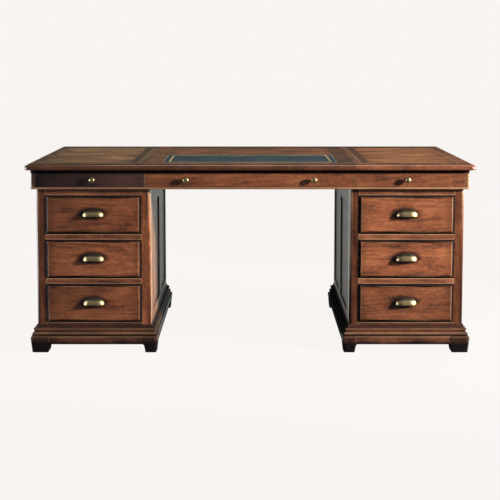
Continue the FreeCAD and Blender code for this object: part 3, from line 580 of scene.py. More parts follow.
# Where the left tone is the lower one, that is partly a darker stain and partly painted shade where the light
# falls off to the left. The dust board's pale tone is a painted highlight along its lip, the bead under the
# frieze.
left_and_right_tones = {"frieze_end_panels": (0.3, 0.7), "frieze_dust_board": (1.5, 1.5),
                        "drawer_rails": (1.65, 1.45), "base_mouldings": (0.42, 0.58),
                        "plinth_boards": (0.38, 0.56), "bracket_feet": (0.32, 0.40),
                        "side_panels": (0.75, 0.75), "side_rails": (0.85, 0.85)}
# Painted shade: the outer flank of the right pedestal, which faces the strong light, is toned darker to hold
# its light down.
lit_flank_shade_tones = {"side_panels": 0.40, "side_rails": 0.44}
# Painted light and shade: the left kneehole post is toned light where the strong light falls on it, the right
# one darker in its shade.
inner_post_light_and_shade_tones = (2.0, 0.80)
# Painted shade: the base inside the kneehole is toned so low that it goes black.
kneehole_base_shade_tones = (0.16, 0.05)
bottom_rail_tone, bottom_rail_height = 0.6, 130 * MM
# Pale arrises: partly wear, partly a painted highlight; the shares lessen them board by board.
arris_wear_and_highlight = 0.42
wear_and_highlight_shares = {"base_mouldings": 0.16, "bracket_feet": 0.10, "plinth_boards": 0.16, "frieze_dust_board": 0.7,
               "side_rails": 0.2, "side_panels": 0.2}
# Painted light on the kneehole sides of the front posts, partly wear: a lit strip on the left, a highlight line
# on the right.
knee_wear_and_light = (0.36, 0.85)
front_low, front_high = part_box("right_top_drawer_front")
pedestal_middle = (front_low.x + front_high.x) / 2


def front_look(node):
    return front_looks.get(node.removesuffix("_drawer_front"), plain_look)


def board_tone(node, low, high):
    """How light a board is, from its place on the desk. Of a pair of tones, the left one comes first."""
    middle, length = (low.x + high.x) / 2, high - low
    inside = abs(middle) < pedestal_middle
    if node == "corner_posts" and inside:
        return inner_post_light_and_shade_tones[middle > 0]
    if node in ("base_mouldings", "plinth_boards") and inside and length.y > length.x:
        return kneehole_base_shade_tones[middle > 0]
    if node == "drawer_rails" and high.z < bottom_rail_height:
        return bottom_rail_tone
    if node in lit_flank_shade_tones and middle > 0 and not inside:
        return lit_flank_shade_tones[node]
    if node in left_and_right_tones:
        return left_and_right_tones[node][middle > 0]
    return front_look(node)[0]


def rub(node, solid, low, high):
    """Lessen the pale arrises of a board, wear and painted highlight, to what its place gets, and paint the
    kneehole sides of the front posts pale, partly as wear and partly as painted light.
    """
    wear = solid.verts.layers.float["wear"]
    kneehole_post = node == "corner_posts" and max(-low.x, high.x) < pedestal_middle
    for vertex in solid.verts:
        x, y, _ = vertex.co
        inner_x = low.x if x > 0 else high.x
        # Painted light: the kneehole face of a front post is made pale, partly as wear.
        if kneehole_post and y < 0 and abs(x - inner_x) < edge_ease:
            vertex[wear] = knee_wear_and_light[x > 0]
        elif vertex[wear] > 0:
            vertex[wear] *= wear_and_highlight_shares.get(node, arris_wear_and_highlight)


print("tones for", len(front_looks), "fronts, pedestals centred at", round(pedestal_middle / MM), "mm")

# %% Dress the wooden nodes
finish_of_slot = {"carcass_wood": carcass_wood, "drawer_wood": drawer_wood, "inner_wood": inner_wood}
finish_of_node = {node: frieze_wood for node in frame["nodes"] if node.endswith("frieze_drawer_front")}
finish_of_node.update(frieze_end_panels=frieze_wood, corner_posts=frame_wood, side_rails=panel_wood,
                      side_panels=panel_wood, left_door_panel=panel_wood, right_door_panel=panel_wood,
                      front_left_frieze_drawer_front=smoked_wood)
dressed = 0
for node in sorted(frame["nodes"]):
    slot = frame["nodes"][node].data.materials[0].name
    if slot not in finish_of_slot:
        continue
    boards = Boards(node + "_dressed")
    for triangles in solids_of(node):
        solid = eased(triangles, thin_ease if slot == "inner_wood" else edge_ease)
        low, high = box_round([vertex.co for vertex in solid.verts])
        rub(node, solid, low, high)
        boards.add(solid, board_tone(node, low, high), drift=front_look(node)[1])
    boards.build(finish_of_node.get(node, finish_of_slot[slot]), body_of[node], slot, node)
    dressed += 1
print("dressed", dressed, "wooden nodes")

# %% [markdown]
# ## The top: groundwork and veneer
# The three boards of the top are a plain core under thin veneer. Round each end section runs a dark band whose
# grain lies across it, then a pale string, then a field with its grain along the desk. At the rear the band is
# broad and darker, partly as painted shade along the rear of the top. The centre section has bands at its sides
# and its rear, and a field behind the leather. The core is lowered by the veneer's thickness and every strip is
# a thin piece of its own, so its grain can run in its own direction.

# %% Define flat strips
veneer_thickness = 0.8 * MM
desk_top = cad_box[1].z
core_top = desk_top - veneer_thickness
weld_distance = 0.01 * MM


def rectangle(x0, x1, y0, y1):
    """Corners of a level rectangle, in the order front left, front right, rear right, rear left."""
    return [Vector((x0, y0)), Vector((x1, y0)), Vector((x1, y1)), Vector((x0, y1))]


def quarter_turns(steps):
    """Angles through a right angle in equal steps."""
    return [k / steps * math.pi / 2 for k in range(steps + 1)]


def rounded(outline, radii, steps=6):
    """An outline with its square corners rounded, each with its own radius."""
    points = []
    for i, (corner, radius) in enumerate(zip(outline, radii)):
        back = (outline[i - 1] - corner).normalized()
        onward = (outline[(i + 1) % len(outline)] - corner).normalized()
        centre = corner + (back + onward) * radius
        for turn in quarter_turns(steps) if radius else [0.0]:
            points.append(centre - onward * radius * math.cos(turn) - back * radius * math.sin(turn))
    return points


def clipped(outline, point, normal):
    """The part of a convex outline on the near side of a line through a point."""
    kept = []
    for a, b in zip(outline, outline[1:] + outline[:1]):
        beyond_a, beyond_b = (a - point).dot(normal), (b - point).dot(normal)
        if beyond_a <= 0:
            kept.append(a)
        if beyond_a * beyond_b < 0:
            kept.append(a.lerp(b, beyond_a / (beyond_a - beyond_b)))
    return kept


def mitred_strips(outline, outer, inner):
    """The band between two rectangles as four strips with mitred corners: front, right, rear and left."""
    strips = []
    for i in range(4):
        j = (i + 1) % 4
        along = inner[j] - inner[i]
        strip = clipped(outline, inner[i], Vector((-along.y, along.x)))
        for corner, direction in ((i, -along), (j, along)):
            mitre = outer[corner] - inner[corner]
            across = Vector((-mitre.y, mitre.x))
            strip = clipped(strip, inner[corner], across if across.dot(direction) > 0 else -across)
        strips.append(strip)
    return strips


def closed_sweep(loops):
    """A closed solid through a row of loops, with a cap at both ends."""
    solid = bmesh.new()
    rows = [[solid.verts.new(point) for point in loop] for loop in loops]
    for one, two in zip(rows, rows[1:]):
        for i in range(len(one)):
            solid.faces.new([one[i - 1], one[i], two[i], two[i - 1]])
    solid.faces.new(rows[0])
    solid.faces.new(rows[-1][::-1])
    bmesh.ops.remove_doubles(solid, verts=solid.verts, dist=weld_distance)
    bmesh.ops.recalc_face_normals(solid, faces=solid.faces)
    return solid


def strip_solid(outline, side=1):
    """A strip of veneer on the core. Side -1 mirrors it to the left half of the desk."""
    return closed_sweep([[(p.x * side, p.y, z) for p in outline] for z in (core_top, desk_top)])


print("veneer lies from", round(core_top / MM, 2), "to", round(desk_top / MM, 2), "mm")

# %% Lower the cores of the top
grain_x, grain_y = 0, 1
core_tones = {"top_left_section": 0.46, "top_center_section": 0.44, "top_right_section": 0.82}
for node in core_tones:
    core = eased(solids_of(node)[0], edge_ease)
    wear = core.verts.layers.float["wear"]
    for vertex in core.verts:
        vertex.co.z = min(vertex.co.z, core_top)
        vertex[wear] = min(vertex[wear], 0.0)
    boards = Boards(node + "_core")
    boards.add(core, core_tones[node], grain=grain_x)
    boards.build(edge_wood, "carcass", "top_wood", node)
print("cores lowered:", len(core_tones))

# %% Lay the veneer of the end sections
field_inset = 16.6 * MM
field_corner = 3.4 * MM
joint_ease = 0.8 * MM
band_width, rear_band_width, joint_band_width, inner_band_width = 44 * MM, 80 * MM, 26 * MM, 34 * MM
string_width = 2.6 * MM
band_tone, dark_band_tone, string_tone = 0.62, 0.34, 0.6
end_field_tones = (0.92, 0.86)
# Painted shade along the rear of the top: the rear bands are broad and toned darker.
rear_band_shade_tones = (0.36, 0.23)

joint_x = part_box("top_right_section")[0].x
edge_x, edge_y = cad_box[1].x - field_inset, cad_box[1].y - field_inset
rear_y = edge_y - rear_band_width
outer = rectangle(joint_x + joint_ease, edge_x, -edge_y, edge_y)
banded = rectangle(joint_x + joint_band_width, edge_x - band_width, band_width - edge_y, rear_y)
strung = rectangle(banded[0].x + string_width, banded[1].x - string_width,
                   banded[0].y + string_width, banded[2].y - string_width)
inner_band_x = strung[0].x + inner_band_width
inner_band = rectangle(strung[0].x, inner_band_x, strung[0].y, strung[2].y)
field = rectangle(inner_band_x, strung[1].x, strung[0].y, strung[2].y)
end_outline = rounded(outer, (0, field_corner, field_corner, 0))

for name, side in (("left", -1), ("right", 1)):
    veneer = Boards("top_" + name + "_veneer")
    strings = Boards("top_" + name + "_stringing")
    for i, strip in enumerate(mitred_strips(end_outline, outer, banded)):
        tone = rear_band_shade_tones[side > 0] if i == 2 else band_tone
        veneer.add(strip_solid(strip, side), tone, grain=grain_x if i % 2 else grain_y)
    for i, strip in enumerate(mitred_strips(banded, banded, strung)):
        strings.add(strip_solid(strip, side), string_tone, grain=grain_y if i % 2 else grain_x)
    veneer.add(strip_solid(inner_band, side), dark_band_tone, grain=grain_x)
    veneer.add(strip_solid(field, side), end_field_tones[side > 0], grain=grain_x)
    # The left end's olive finish is a painted sheen.
    veneer.build(olive_sheen_wood if side < 0 else top_wood, "carcass", "top_wood")
    strings.build(string_wood, "carcass", "top_wood")
print("end sections veneered, fields", round((field[1].x - field[0].x) / MM), "mm wide")

# %% Lay the veneer of the centre section
leather_low, leather_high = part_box("leather_writing_surface")
leather_play = 0.3 * MM
rear_field_tone = 0.55
side_x = leather_high.x + leather_play
front_y, back_y = leather_low.y - leather_play, leather_high.y + leather_play
side_band = rectangle(side_x, joint_x - joint_ease, -edge_y, edge_y)
center_veneer = Boards("top_center_veneer")
center_veneer.add(strip_solid(side_band, -1), band_tone, grain=grain_x)
center_veneer.add(strip_solid(side_band), dark_band_tone, grain=grain_x)
for near_y, far_y, tone, grain in ((-edge_y, front_y, band_tone, grain_y),
                                   (back_y, rear_y, rear_field_tone, grain_x),
                                   (rear_y, edge_y, rear_band_shade_tones[1], grain_y)):
    center_veneer.add(strip_solid(rectangle(-side_x, side_x, near_y, far_y)), tone, grain=grain)
center_veneer.build(top_wood, "carcass", "top_wood")
print("centre section veneered round a leather of", round(2 * side_x / MM), "mm")

# %% [markdown]
# ## The leather and its gilding
# The writing surface is a skin of blue-green leather with a fine pebbled grain. A gold line is tooled a
# thumb's breadth inside its edge: two thin fillets with a row of small lozenges between them. The same stamp
# again and again along a path is work for Geometry Nodes: the path is divided evenly, and one lozenge is placed
# at each point.

# %% Define the leather and gold finishes
pebbles_per_metre, pebble_depth = 620.0, 0.3 * MM


def leather_finish():
    finish = Finish("pebbled_leather")
    place = finish.place()
    cloud = finish.noise(place, 9.0, 9.0, 4.0)
    wear = finish.noise(place, 38.0, 38.0, 3.0)
    pebble = finish.node("ShaderNodeTexVoronoi", {"feature": "SMOOTH_F1"},
                         {"Vector": finish.scaled(place, pebbles_per_metre), "Scale": 1.0, "Smoothness": 0.6},
                         "Distance")
    colour = finish.ramp(cloud * 0.6 + wear * 0.4, (0.30, (0.006, 0.016, 0.023)),
                         (0.52, (0.013, 0.032, 0.046)), (0.75, (0.030, 0.058, 0.074)))
    finish.give(Base_Color=colour, Roughness=0.46 + (wear - 0.5) * 0.2, Specular_IOR_Level=0.3)
    finish.relief(1.0 - pebble, pebble_depth, 0.5)
    return finish.material


def gilt_finish():
    finish = Finish("gilt_tooling")
    rubbed = finish.smooth(finish.noise(finish.place(), 70.0, 70.0, 3.0), 0.60, 0.74)
    colour = finish.blend(rubbed, (0.78, 0.60, 0.28, 1.0), (0.20, 0.17, 0.09, 1.0))
    finish.give(Base_Color=colour, Metallic=0.75 - rubbed * 0.4, Roughness=0.34 + rubbed * 0.25)
    return finish.material


writing_leather, gilt_tooling = leather_finish(), gilt_finish()
print("leather and gold ready")

# %% Lay the leather
gold_thickness = 0.12 * MM
leather_ease = 0.6 * MM
leather_middle = (leather_low + leather_high) / 2
leather_size = leather_high - leather_low
leather = eased(solids_of("leather_writing_surface")[0], leather_ease)
for vertex in leather.verts:
    if vertex.co.z > leather_middle.z:
        vertex.co.z -= gold_thickness
skin = Boards("leather_skin")
skin.add(leather)
skin.build(writing_leather, "carcass", "writing_leather", "leather_writing_surface")
print("leather laid,", round(leather_size.y / MM), "mm deep")

# %% Define how a node tree grows a mesh
def growth_tree(name, **inputs):
    """An empty Geometry Nodes tree with named inputs, and the sockets that they give."""
    group = bpy.data.node_groups.new(name, "GeometryNodeTree")
    group.interface.new_socket("Geometry", in_out="OUTPUT", socket_type="NodeSocketGeometry")
    for label, kind in inputs.items():
        group.interface.new_socket(label, in_out="INPUT", socket_type="NodeSocket" + kind)
    tree = Tree(group)
    start = group.nodes.new("NodeGroupInput")
    return tree, {label: Socket(tree, start.outputs[label]) for label in inputs}


def close_growth(tree, geometry, material):
    """End a tree in real geometry with its material set."""
    real = tree.node("GeometryNodeRealizeInstances", None, {"Geometry": geometry})
    coated = tree.node("GeometryNodeSetMaterial", None, {"Geometry": real, "Material": material})
    tree.node("NodeGroupOutput", None, {"Geometry": coated})


def grown(name, tree, settings, host=None):
    """What a tree grows from its settings, and from a host mesh if it needs one, as a plain mesh."""
    carrier = shown(name + "_carrier", host or bpy.data.meshes.new(name + "_carrier"))
    modifier = carrier.modifiers.new("growth", "NODES")
    modifier.node_group = tree.nodes
    for item in tree.nodes.interface.items_tree:
        if item.in_out == "INPUT" and item.name in settings:
            modifier[item.identifier] = settings[item.name]
    graph = bpy.context.evaluated_depsgraph_get()
    mesh = bpy.data.meshes.new_from_object(carrier.evaluated_get(graph))
    carrier.modifiers.remove(modifier)
    bpy.data.objects.remove(carrier)
    mesh.name = name
    return mesh


print("growth helpers ready")

# %% Tool the gold lines
roll, sizes = growth_tree("gilt_roll", Width="Float", Depth="Float", Spread="Float", Line="Float",
                          Gold="Float", Step="Float", Lozenge="Float", Middle="Vector")


def gold_path(width, depth):
    return roll.node("GeometryNodeCurvePrimitiveQuadrilateral", {"mode": "RECTANGLE"},
                     {"Width": width, "Height": depth})


section = gold_path(sizes["Line"], sizes["Gold"])
tooled = []
for spread in (sizes["Spread"], sizes["Spread"] * -1.0):
    path = gold_path(sizes["Width"] + spread, sizes["Depth"] + spread)
    tooled.append(roll.node("GeometryNodeCurveToMesh", None, {"Curve": path, "Profile Curve": section}))
stations = roll.node("GeometryNodeCurveToPoints", {"mode": "LENGTH"},
                     {"Curve": gold_path(sizes["Width"], sizes["Depth"]), "Length": sizes["Step"]})
lozenge = roll.node("GeometryNodeMeshCylinder", None,
                    {"Vertices": 4, "Radius": sizes["Lozenge"], "Depth": sizes["Gold"]})
tooled.append(roll.node("GeometryNodeInstanceOnPoints", None, {"Points": stations, "Instance": lozenge}))
gilding = roll.node("GeometryNodeJoinGeometry", None, {"Geometry": tooled})
moved = roll.node("GeometryNodeTransform", None, {"Geometry": gilding, "Translation": sizes["Middle"]})
close_growth(roll, moved, gilt_tooling)

# Each line: its inset from the leather's edge, its spread, the width of its fillets and its lozenges' radius
gold_lines = {"gilt_roll": (29 * MM, 6.0 * MM, 1.2 * MM, 1.9 * MM),
              "gilt_edge_line": (4 * MM, 1.6 * MM, 0.8 * MM, 0.3 * MM)}
gold_middle = Vector((leather_middle.x, leather_middle.y, desk_top - gold_thickness / 2))
for name, (inset, spread, line, lozenge_radius) in gold_lines.items():
    settings = {"Width": leather_size.x - 2 * inset, "Depth": leather_size.y - 2 * inset, "Spread": spread,
                "Line": line, "Gold": gold_thickness, "Step": 6.0 * MM, "Lozenge": lozenge_radius,
                "Middle": gold_middle}
    gilding = placed(name, grown(name, roll, settings), gilt_tooling, "carcass", "writing_leather")
    print(name, len(gilding.data.polygons), "faces")

# %% [markdown]
# ## Antique brass
# Pulls, knobs and hinges are brass that has darkened where hands do not rub it. Each brass piece carries an
# attribute named patina, worked out from its shape: high on the crown of a hood and in its hollow, low on the
# skirt that fingers polish. The finish mixes bright and dark metal by it, with a little cloud in the edge.

# %% Define the brass finish
bright_brass, dark_brass = (0.30, 0.235, 0.12, 1.0), (0.024, 0.022, 0.016, 1.0)
scratch_depth = 0.08 * MM


def brass_finish():
    finish = Finish("patinated_brass")
    place = finish.place()
    cloud = finish.noise(place, 150.0, 150.0, 4.0)
    scratch = finish.noise(place, 300.0, 1800.0)
    age = finish.smooth(finish.attribute("patina") + (cloud - 0.5) * 0.45, 0.25, 0.85)
    finish.give(Base_Color=finish.blend(age, bright_brass, dark_brass), Metallic=0.85 - age * 0.3,
                Roughness=0.36 + age * 0.2 + (scratch - 0.5) * 0.10)
    finish.relief(scratch, scratch_depth, 0.3)
    return finish.material


antique_brass = brass_finish()
print("brass ready")

# %% Define turned brass
def brass_piece(name, solids, patina, body, *nodes):
    """Join bmesh solids into one brass piece. Patina is a function of a point."""
    mesh = joined(name, solids)
    note(mesh, "patina", [patina(vertex.co) for vertex in mesh.vertices])
    return placed(name, mesh, antique_brass, body, "antique_brass", *nodes)


def turned(profile, middle, outward, steps=40):
    """A solid turned about an axis along Y. The profile holds pairs of radius and distance outwards."""
    turns = [2 * math.pi * k / steps for k in range(steps)]
    return closed_sweep([[middle + Vector((radius * math.cos(t), outward * out, radius * math.sin(t)))
                          for t in turns] for radius, out in profile])


print("brass helpers ready")

# %% [markdown]
# ## Cup pulls
# A cup pull is a hood that the fingers reach under. Its section is a short skirt with a rounded lip, then a
# quarter of an oval up to the wood. The section travels along the drawer and swings round to the wood at both
# ends, stretched there, so that the ends are oval too. The shape is therefore a sweep: one loop of points,
# repeated at every station of that path.

# %% Cast the cup pulls
pull_reach, pull_skirt, pull_wall, lip_round = 22 * MM, 6 * MM, 2.2 * MM, 0.8 * MM
plate_thickness, hollow_depth = 1.6 * MM, 2 * MM
pull_run_share = 0.22
crown_steps, turn_steps, run_steps = 14, 16, 6
hollow_patina, skirt_patina, patina_start, patina_rise = 0.9, 0.15, 0.1, 1.3


def hood_loop():
    """The hood's section: up its outer face, and down its inner face, as pairs of reach and rise."""
    inner_reach, rise = pull_reach - pull_wall, pull_reach + pull_skirt
    outer = [(pull_reach - pull_wall / 2, -pull_skirt)]
    inner = [(inner_reach, lip_round - pull_skirt)]
    for turn in quarter_turns(crown_steps):
        lift = lip_round * math.cos(turn) - pull_skirt
        outer.append((pull_reach * math.cos(turn), rise * math.sin(turn) + lift))
        inner.append((inner_reach * math.cos(turn), (rise - pull_wall) * math.sin(turn) + lift))
    return outer + inner[::-1]


def pull_solids(middle, half_width):
    """Hood and back plate of a pull. Its middle lies on the drawer front, at the top of the skirt."""
    run = half_width * pull_run_share
    stretch = (half_width - run) / pull_reach
    section, turns = hood_loop(), quarter_turns(turn_steps)
    stations = [(-run, turn - math.pi / 2) for turn in turns]
    stations += [(run * (2 * k / run_steps - 1), 0.0) for k in range(1, run_steps)]
    stations += [(run, turn) for turn in turns]
    hood = closed_sweep([[middle + Vector((shift + out * stretch * math.sin(turn), -out * math.cos(turn), rise))
                          for out, rise in section] for shift, turn in stations])
    rim = [(half_width, -pull_skirt)]
    rim += [(run + pull_reach * stretch * math.cos(turn), pull_reach * math.sin(turn)) for turn in turns]
    rim += [(-x, rise) for x, rise in rim[::-1]]
    plate = closed_sweep([[middle + Vector((x, -out, rise)) for x, rise in rim]
                          for out in (0.0, plate_thickness)])
    return [hood, plate]


for node in sorted(n for n in frame["nodes"] if n.endswith("_pull")):
    low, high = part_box(node)
    middle = Vector(((low.x + high.x) / 2, low.y + pull_reach, low.z + pull_skirt))

    def pull_patina(point):
        if point.y > middle.y - hollow_depth:
            return hollow_patina
        rise = (point.z - middle.z) / pull_reach
        return min(1.0, max(skirt_patina, (rise - patina_start) * patina_rise))

    solids = pull_solids(middle, (high.x - low.x) / 2)
    pull = brass_piece(node + "_cast", solids, pull_patina, body_of[node], node)
print("pulls cast, each", len(pull.data.polygons), "faces")

# %% [markdown]
# ## Knobs, hinges and screws
# A knob comes off the lathe, so it is a profile turned about its axis. The hinges keep the frame's own shape
# with their edges eased. Screws repeat: one slotted head, grown by Geometry Nodes at every point of a small
# host mesh that also says which way each screw faces.

# %% Turn the knobs and dress the hinges
knob_profile = [(0.0, -14.0), (2.5, -14.0), (2.5, 0.0), (8.4, 0.0), (8.4, 0.8), (7.6, 1.5), (6.2, 2.1),
                (4.9, 3.0), (4.4, 4.5), (4.4, 6.0), (5.2, 7.6), (7.3, 9.0), (9.8, 10.6), (11.5, 12.4),
                (12.0, 14.5), (11.6, 16.5), (10.5, 18.5), (8.5, 20.1), (5.8, 21.2), (2.9, 21.85), (0.0, 22.0)]
knob_profile = [(radius * MM, out * MM) for radius, out in knob_profile]
knob_reach = knob_profile[-1][1]
knob_depth = knob_reach - knob_profile[0][1]
knob_neck, neck_patina, face_patina = 8 * MM, 0.75, 0.12
depth_tolerance, hinge_ease = 1 * MM, 0.25 * MM


def hardware(node):
    """The knobs of a node turned anew, and its other solids eased."""
    solids = []
    for triangles in solids_of(node):
        low, high = box_round(triangles)
        if abs(high.y - low.y - knob_depth) > depth_tolerance:
            solids.append(eased(triangles, hinge_ease))
            continue
        outward = 1 if high.y > 0 else -1
        wall_y = (high.y if outward > 0 else low.y) - outward * knob_reach
        middle = Vector(((low.x + high.x) / 2, wall_y, (low.z + high.z) / 2))
        solids.append(turned(knob_profile, middle, outward))
    return solids


for node in sorted(n for n in frame["nodes"] if n.endswith(("_knobs", "_hardware", "_leaves"))):
    face_y = max(abs(corner.y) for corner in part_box(node)) - knob_reach

    def knob_patina(point):
        return neck_patina if abs(point.y) < face_y + knob_neck else face_patina

    piece = brass_piece(node + "_brass", hardware(node), knob_patina, body_of[node], node)
    print(piece.name, len(piece.data.polygons), "faces")

# %% Grow the screws
screw_steel = Finish("dull_steel")
steel_cloud = screw_steel.noise(screw_steel.place(), 400.0, 400.0, 3.0)
steel_colour = screw_steel.blend(steel_cloud, (0.16, 0.15, 0.14, 1.0), (0.42, 0.41, 0.39, 1.0))
screw_steel.give(Base_Color=steel_colour, Metallic=1.0, Roughness=0.30 + steel_cloud * 0.25)
slot_length, slot_width, slot_depth = 3.0, 0.28, 0.8


def screw_tree(name, material):
    """A slotted countersunk screw at every point of a host, turned as the host's facing attribute says."""
    tree, sizes = growth_tree(name, Geometry="Geometry", Head="Float", Sink="Float", Shank="Float",
                              Length="Float")

    def lowered(mesh, drop):
        return tree.node("GeometryNodeTransform", None,
                         {"Geometry": mesh, "Translation": tree.combine(0.0, 0.0, drop * -1.0)})

    head = tree.node("GeometryNodeMeshCone", None, {"Vertices": 24, "Radius Top": sizes["Head"],
                                                    "Radius Bottom": sizes["Shank"], "Depth": sizes["Sink"]})
    slot_size = tree.combine(sizes["Head"] * slot_length, sizes["Head"] * slot_width,
                             sizes["Sink"] * slot_depth)
    slot = tree.node("GeometryNodeMeshCube", None, {"Size": slot_size})
    slotted = tree.node("GeometryNodeMeshBoolean", {"operation": "DIFFERENCE"},
                        {"Mesh 1": lowered(head, sizes["Sink"]), "Mesh 2": slot})
    shank = tree.node("GeometryNodeMeshCylinder", None,
                      {"Vertices": 16, "Radius": sizes["Shank"], "Depth": sizes["Length"]})
    sunk = lowered(shank, sizes["Length"] * 0.5 + sizes["Sink"])
    screw = tree.node("GeometryNodeJoinGeometry", None, {"Geometry": [slotted, sunk]})
    facing = tree.node("GeometryNodeInputNamedAttribute", {"data_type": "FLOAT_VECTOR"}, {"Name": "facing"})
    turn = tree.node("FunctionNodeEulerToRotation", None, {"Euler": facing})
    driven = tree.node("GeometryNodeInstanceOnPoints", None,
                       {"Points": sizes["Geometry"], "Instance": screw, "Rotation": turn})
    close_growth(tree, driven, material)
    return tree


steel_tree = screw_tree("dust_board_screw", screw_steel.material)
brass_tree = screw_tree("hinge_screw", antique_brass)
print("screw trees wait for their hosts")

# %% Drive the screws
leaf_screw_rise, leaf_screw_inset, leaf_reach = 20 * MM, 8 * MM, 17 * MM
slot_turn = 0.4
board_sizes = {"Head": 4.0 * MM, "Sink": 2.5 * MM, "Shank": 2.0 * MM, "Length": 23.5 * MM}
hinge_sizes = {"Head": 3.0 * MM, "Sink": 1.0 * MM, "Shank": 1.4 * MM, "Length": 10.0 * MM}


def leaf_screws(node, fixed):
    """Three screws on the open face of every hinge leaf, which faces the other leaf."""
    places = []
    for triangles in solids_of(node):
        low, high = box_round(triangles)
        if high.y - low.y < leaf_reach or high.z - low.z < 2 * leaf_screw_rise:
            continue
        points = np.reshape(triangles, (-1, 3))
        flat = points[points[:, 1] < low.y + leaf_reach]
        side = 1 if low.x > 0 else -1
        depths = sorted((abs(x) for x in flat[:, 0]), reverse=not fixed)
        turn = (0.0, math.pi / 2 * side * (-1 if fixed else 1), 0.0)
        for rise in (-leaf_screw_rise, 0.0, leaf_screw_rise):
            place = (side * depths[0], low.y + leaf_screw_inset, (low.z + high.z) / 2 + rise)
            places.append((place, turn))
    return places


board_screws = []
for triangles in solids_of("fixing_screws"):
    low, high = box_round(triangles)
    middle = (low + high) / 2
    board_screws.append(((middle.x, middle.y, high.z), (0.0, 0.0, slot_turn * len(board_screws))))

hosts = [("dust_board_screws", board_screws, "carcass", ["fixing_screws"]),
         ("fixed_leaf_screws", leaf_screws("hinge_fixed_leaves", True), "carcass", []),
         ("left_door_leaf_screws", leaf_screws("left_door_hardware", False), "left_door", []),
         ("right_door_leaf_screws", leaf_screws("right_door_hardware", False), "right_door", [])]
for name, places, body, nodes in hosts:
    tree, sizes, material, slot = brass_tree, hinge_sizes, antique_brass, "antique_brass"
    if nodes:
        tree, sizes, material, slot = steel_tree, board_sizes, screw_steel.material, "screw_steel"
    host = bpy.data.meshes.new(name + "_host")
    host.from_pydata([place for place, _ in places], [], [])
    note(host, "facing", [turn for _, turn in places])
    screws = grown(name, tree, sizes, host)
    piece = placed(name, screws, material, body, slot, *nodes)
    print(name, len(places), "screws,", len(piece.data.polygons), "faces")

# %% [markdown]
# ## Floor and light
# One strong light stands low on the right, so that knobs and pulls throw their shadows to the left and the
# left pedestal falls away into a deeper tone. Cards round the desk do the rest: a cool one at the left, a warm
# one at the right, one above the camera to open the shadows, and one overhead for the figure of the top. The
# two at the rear stand lower than the top, so they light the cupboards without a glare on the veneer. The pale
# floor and backdrop are for the camera alone: the polish of the desk answers to a dimmer room.

# %% Light the desk
def aimed(name, data, place, aim):
    """A light at a place, turned towards a point."""
    light = shown(name, data)
    light.location = place
    light.rotation_euler = (Vector(aim) - Vector(place)).to_track_quat("-Z", "Y").to_euler()
    return light


key_direction = Vector((0.88, -0.36, 0.33)).normalized()
key_place = Vector((0.63, -0.42, 0.40)) + key_direction * 6.0
key = bpy.data.lights.new("key_light", "SPOT")
key.energy, key.color = 7000.0, (1.0, 0.93, 0.83)
key.shadow_soft_size = 0.28
key.spot_size, key.spot_blend = math.radians(27), 1.0
aimed("key_light", key, key_place, (0.78, -0.21, 0.22))

# Each card: its place, the point it faces, its width and height, its power and its colour
cards = {"left_card": ((-3.4, -0.55, 0.6), (-0.5, -0.4, 0.45), 2.4, 2.2, 180.0, (0.88, 0.95, 1.0)),
         "right_card": ((4.4, -1.9, 1.2), (0.4, -0.4, 0.45), 1.4, 1.8, 100.0, (1.0, 0.90, 0.75)),
         "front_card": ((-1.2, -4.5, 3.3), (-0.3, 0.0, 0.45), 4.0, 1.4, 10.0, (1.0, 0.97, 0.92)),
         "overhead_card": ((0.2, 0.5, 2.8), (0.1, 0.1, 0.7), 2.2, 1.2, 27.0, (1.0, 0.97, 0.86)),
         "rear_left_card": ((-3.2, 3.4, 0.42), (0.0, 0.4, 0.42), 2.4, 0.62, 42.0, (0.94, 1.0, 0.97)),
         "rear_right_card": ((3.2, 3.4, 0.42), (0.0, 0.4, 0.42), 2.4, 0.62, 60.0, (0.94, 1.0, 0.97))}
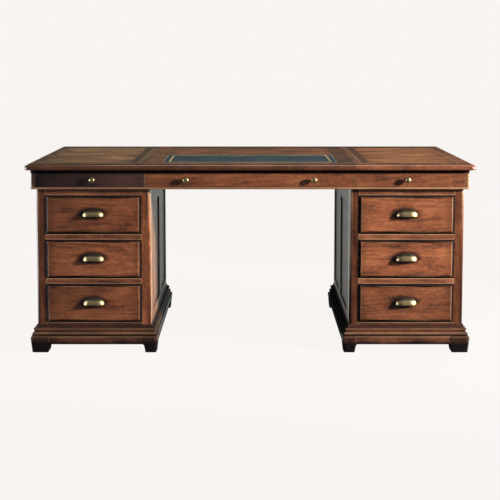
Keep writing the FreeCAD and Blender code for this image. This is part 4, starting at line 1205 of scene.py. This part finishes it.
for name, (place, aim, width, height, power, colour) in cards.items():
    card = bpy.data.lights.new(name, "AREA")
    card.shape = "RECTANGLE"
    card.size, card.size_y = width, height
    card.energy, card.color = power, colour
    aimed(name, card, place, aim).visible_camera = False

# %% Lay the floor
floor_reach = 20.0
backdrop = (0.947, 0.913, 0.887, 1.0)
floor_finish = Finish("pale_floor")
floor_finish.give(Base_Color=(0.015, 0.015, 0.015, 1.0), Roughness=0.9, Specular_IOR_Level=0.0,
                  Emission_Color=backdrop, Emission_Strength=0.985)
floor_mesh = bpy.data.meshes.new("floor")
floor_corners = rectangle(-floor_reach, floor_reach, -floor_reach, floor_reach)
floor_mesh.from_pydata([(p.x, p.y, 0.0) for p in floor_corners], [], [(0, 1, 2, 3)])
floor_mesh.materials.append(floor_finish.material)
floor = shown("floor", floor_mesh)
floor.visible_diffuse = floor.visible_glossy = False
print("floor", 2 * floor_reach, "m wide")

# %% Hang the backdrop
world = bpy.data.worlds.new("studio")
world.use_nodes = True
bpy.context.scene.world = world
studio = Tree(world.node_tree)
_, depth, height = studio.split(studio.node("ShaderNodeTexCoord", None, None, "Generated"))
room = studio.blend(studio.smooth(height, 0.0, 0.9), (0.035, 0.034, 0.030, 1.0), (0.10, 0.10, 0.095, 1.0))
high = studio.smooth(depth, 0.1, 0.6) * studio.smooth(height, 0.5, 0.75)
behind = studio.smooth(depth, 0.5, 0.95) * (1.0 - studio.smooth(height, -0.08, 0.02))
glare = studio.smooth(depth, 0.93, 0.985) * (1.0 - studio.smooth(height, -0.05, 0.02))
before = studio.smooth(depth * -1.0, 0.3, 0.9) * (1.0 - studio.smooth(height, -0.1, 0.25))
camera_ray = studio.node("ShaderNodeLightPath", None, None, "Is Camera Ray")
for share, colour in ((high, (0.50, 0.50, 0.48, 1.0)), (behind, (0.165, 0.240, 0.240, 1.0)),
                      (glare, (0.54, 0.62, 0.59, 1.0)), (before, (0.060, 0.080, 0.105, 1.0)),
                      (camera_ray, backdrop)):
    room = studio.blend(share, room, colour)
studio.plug(world.node_tree.nodes["Background"].inputs["Color"], room)
print("backdrop in", world.name)
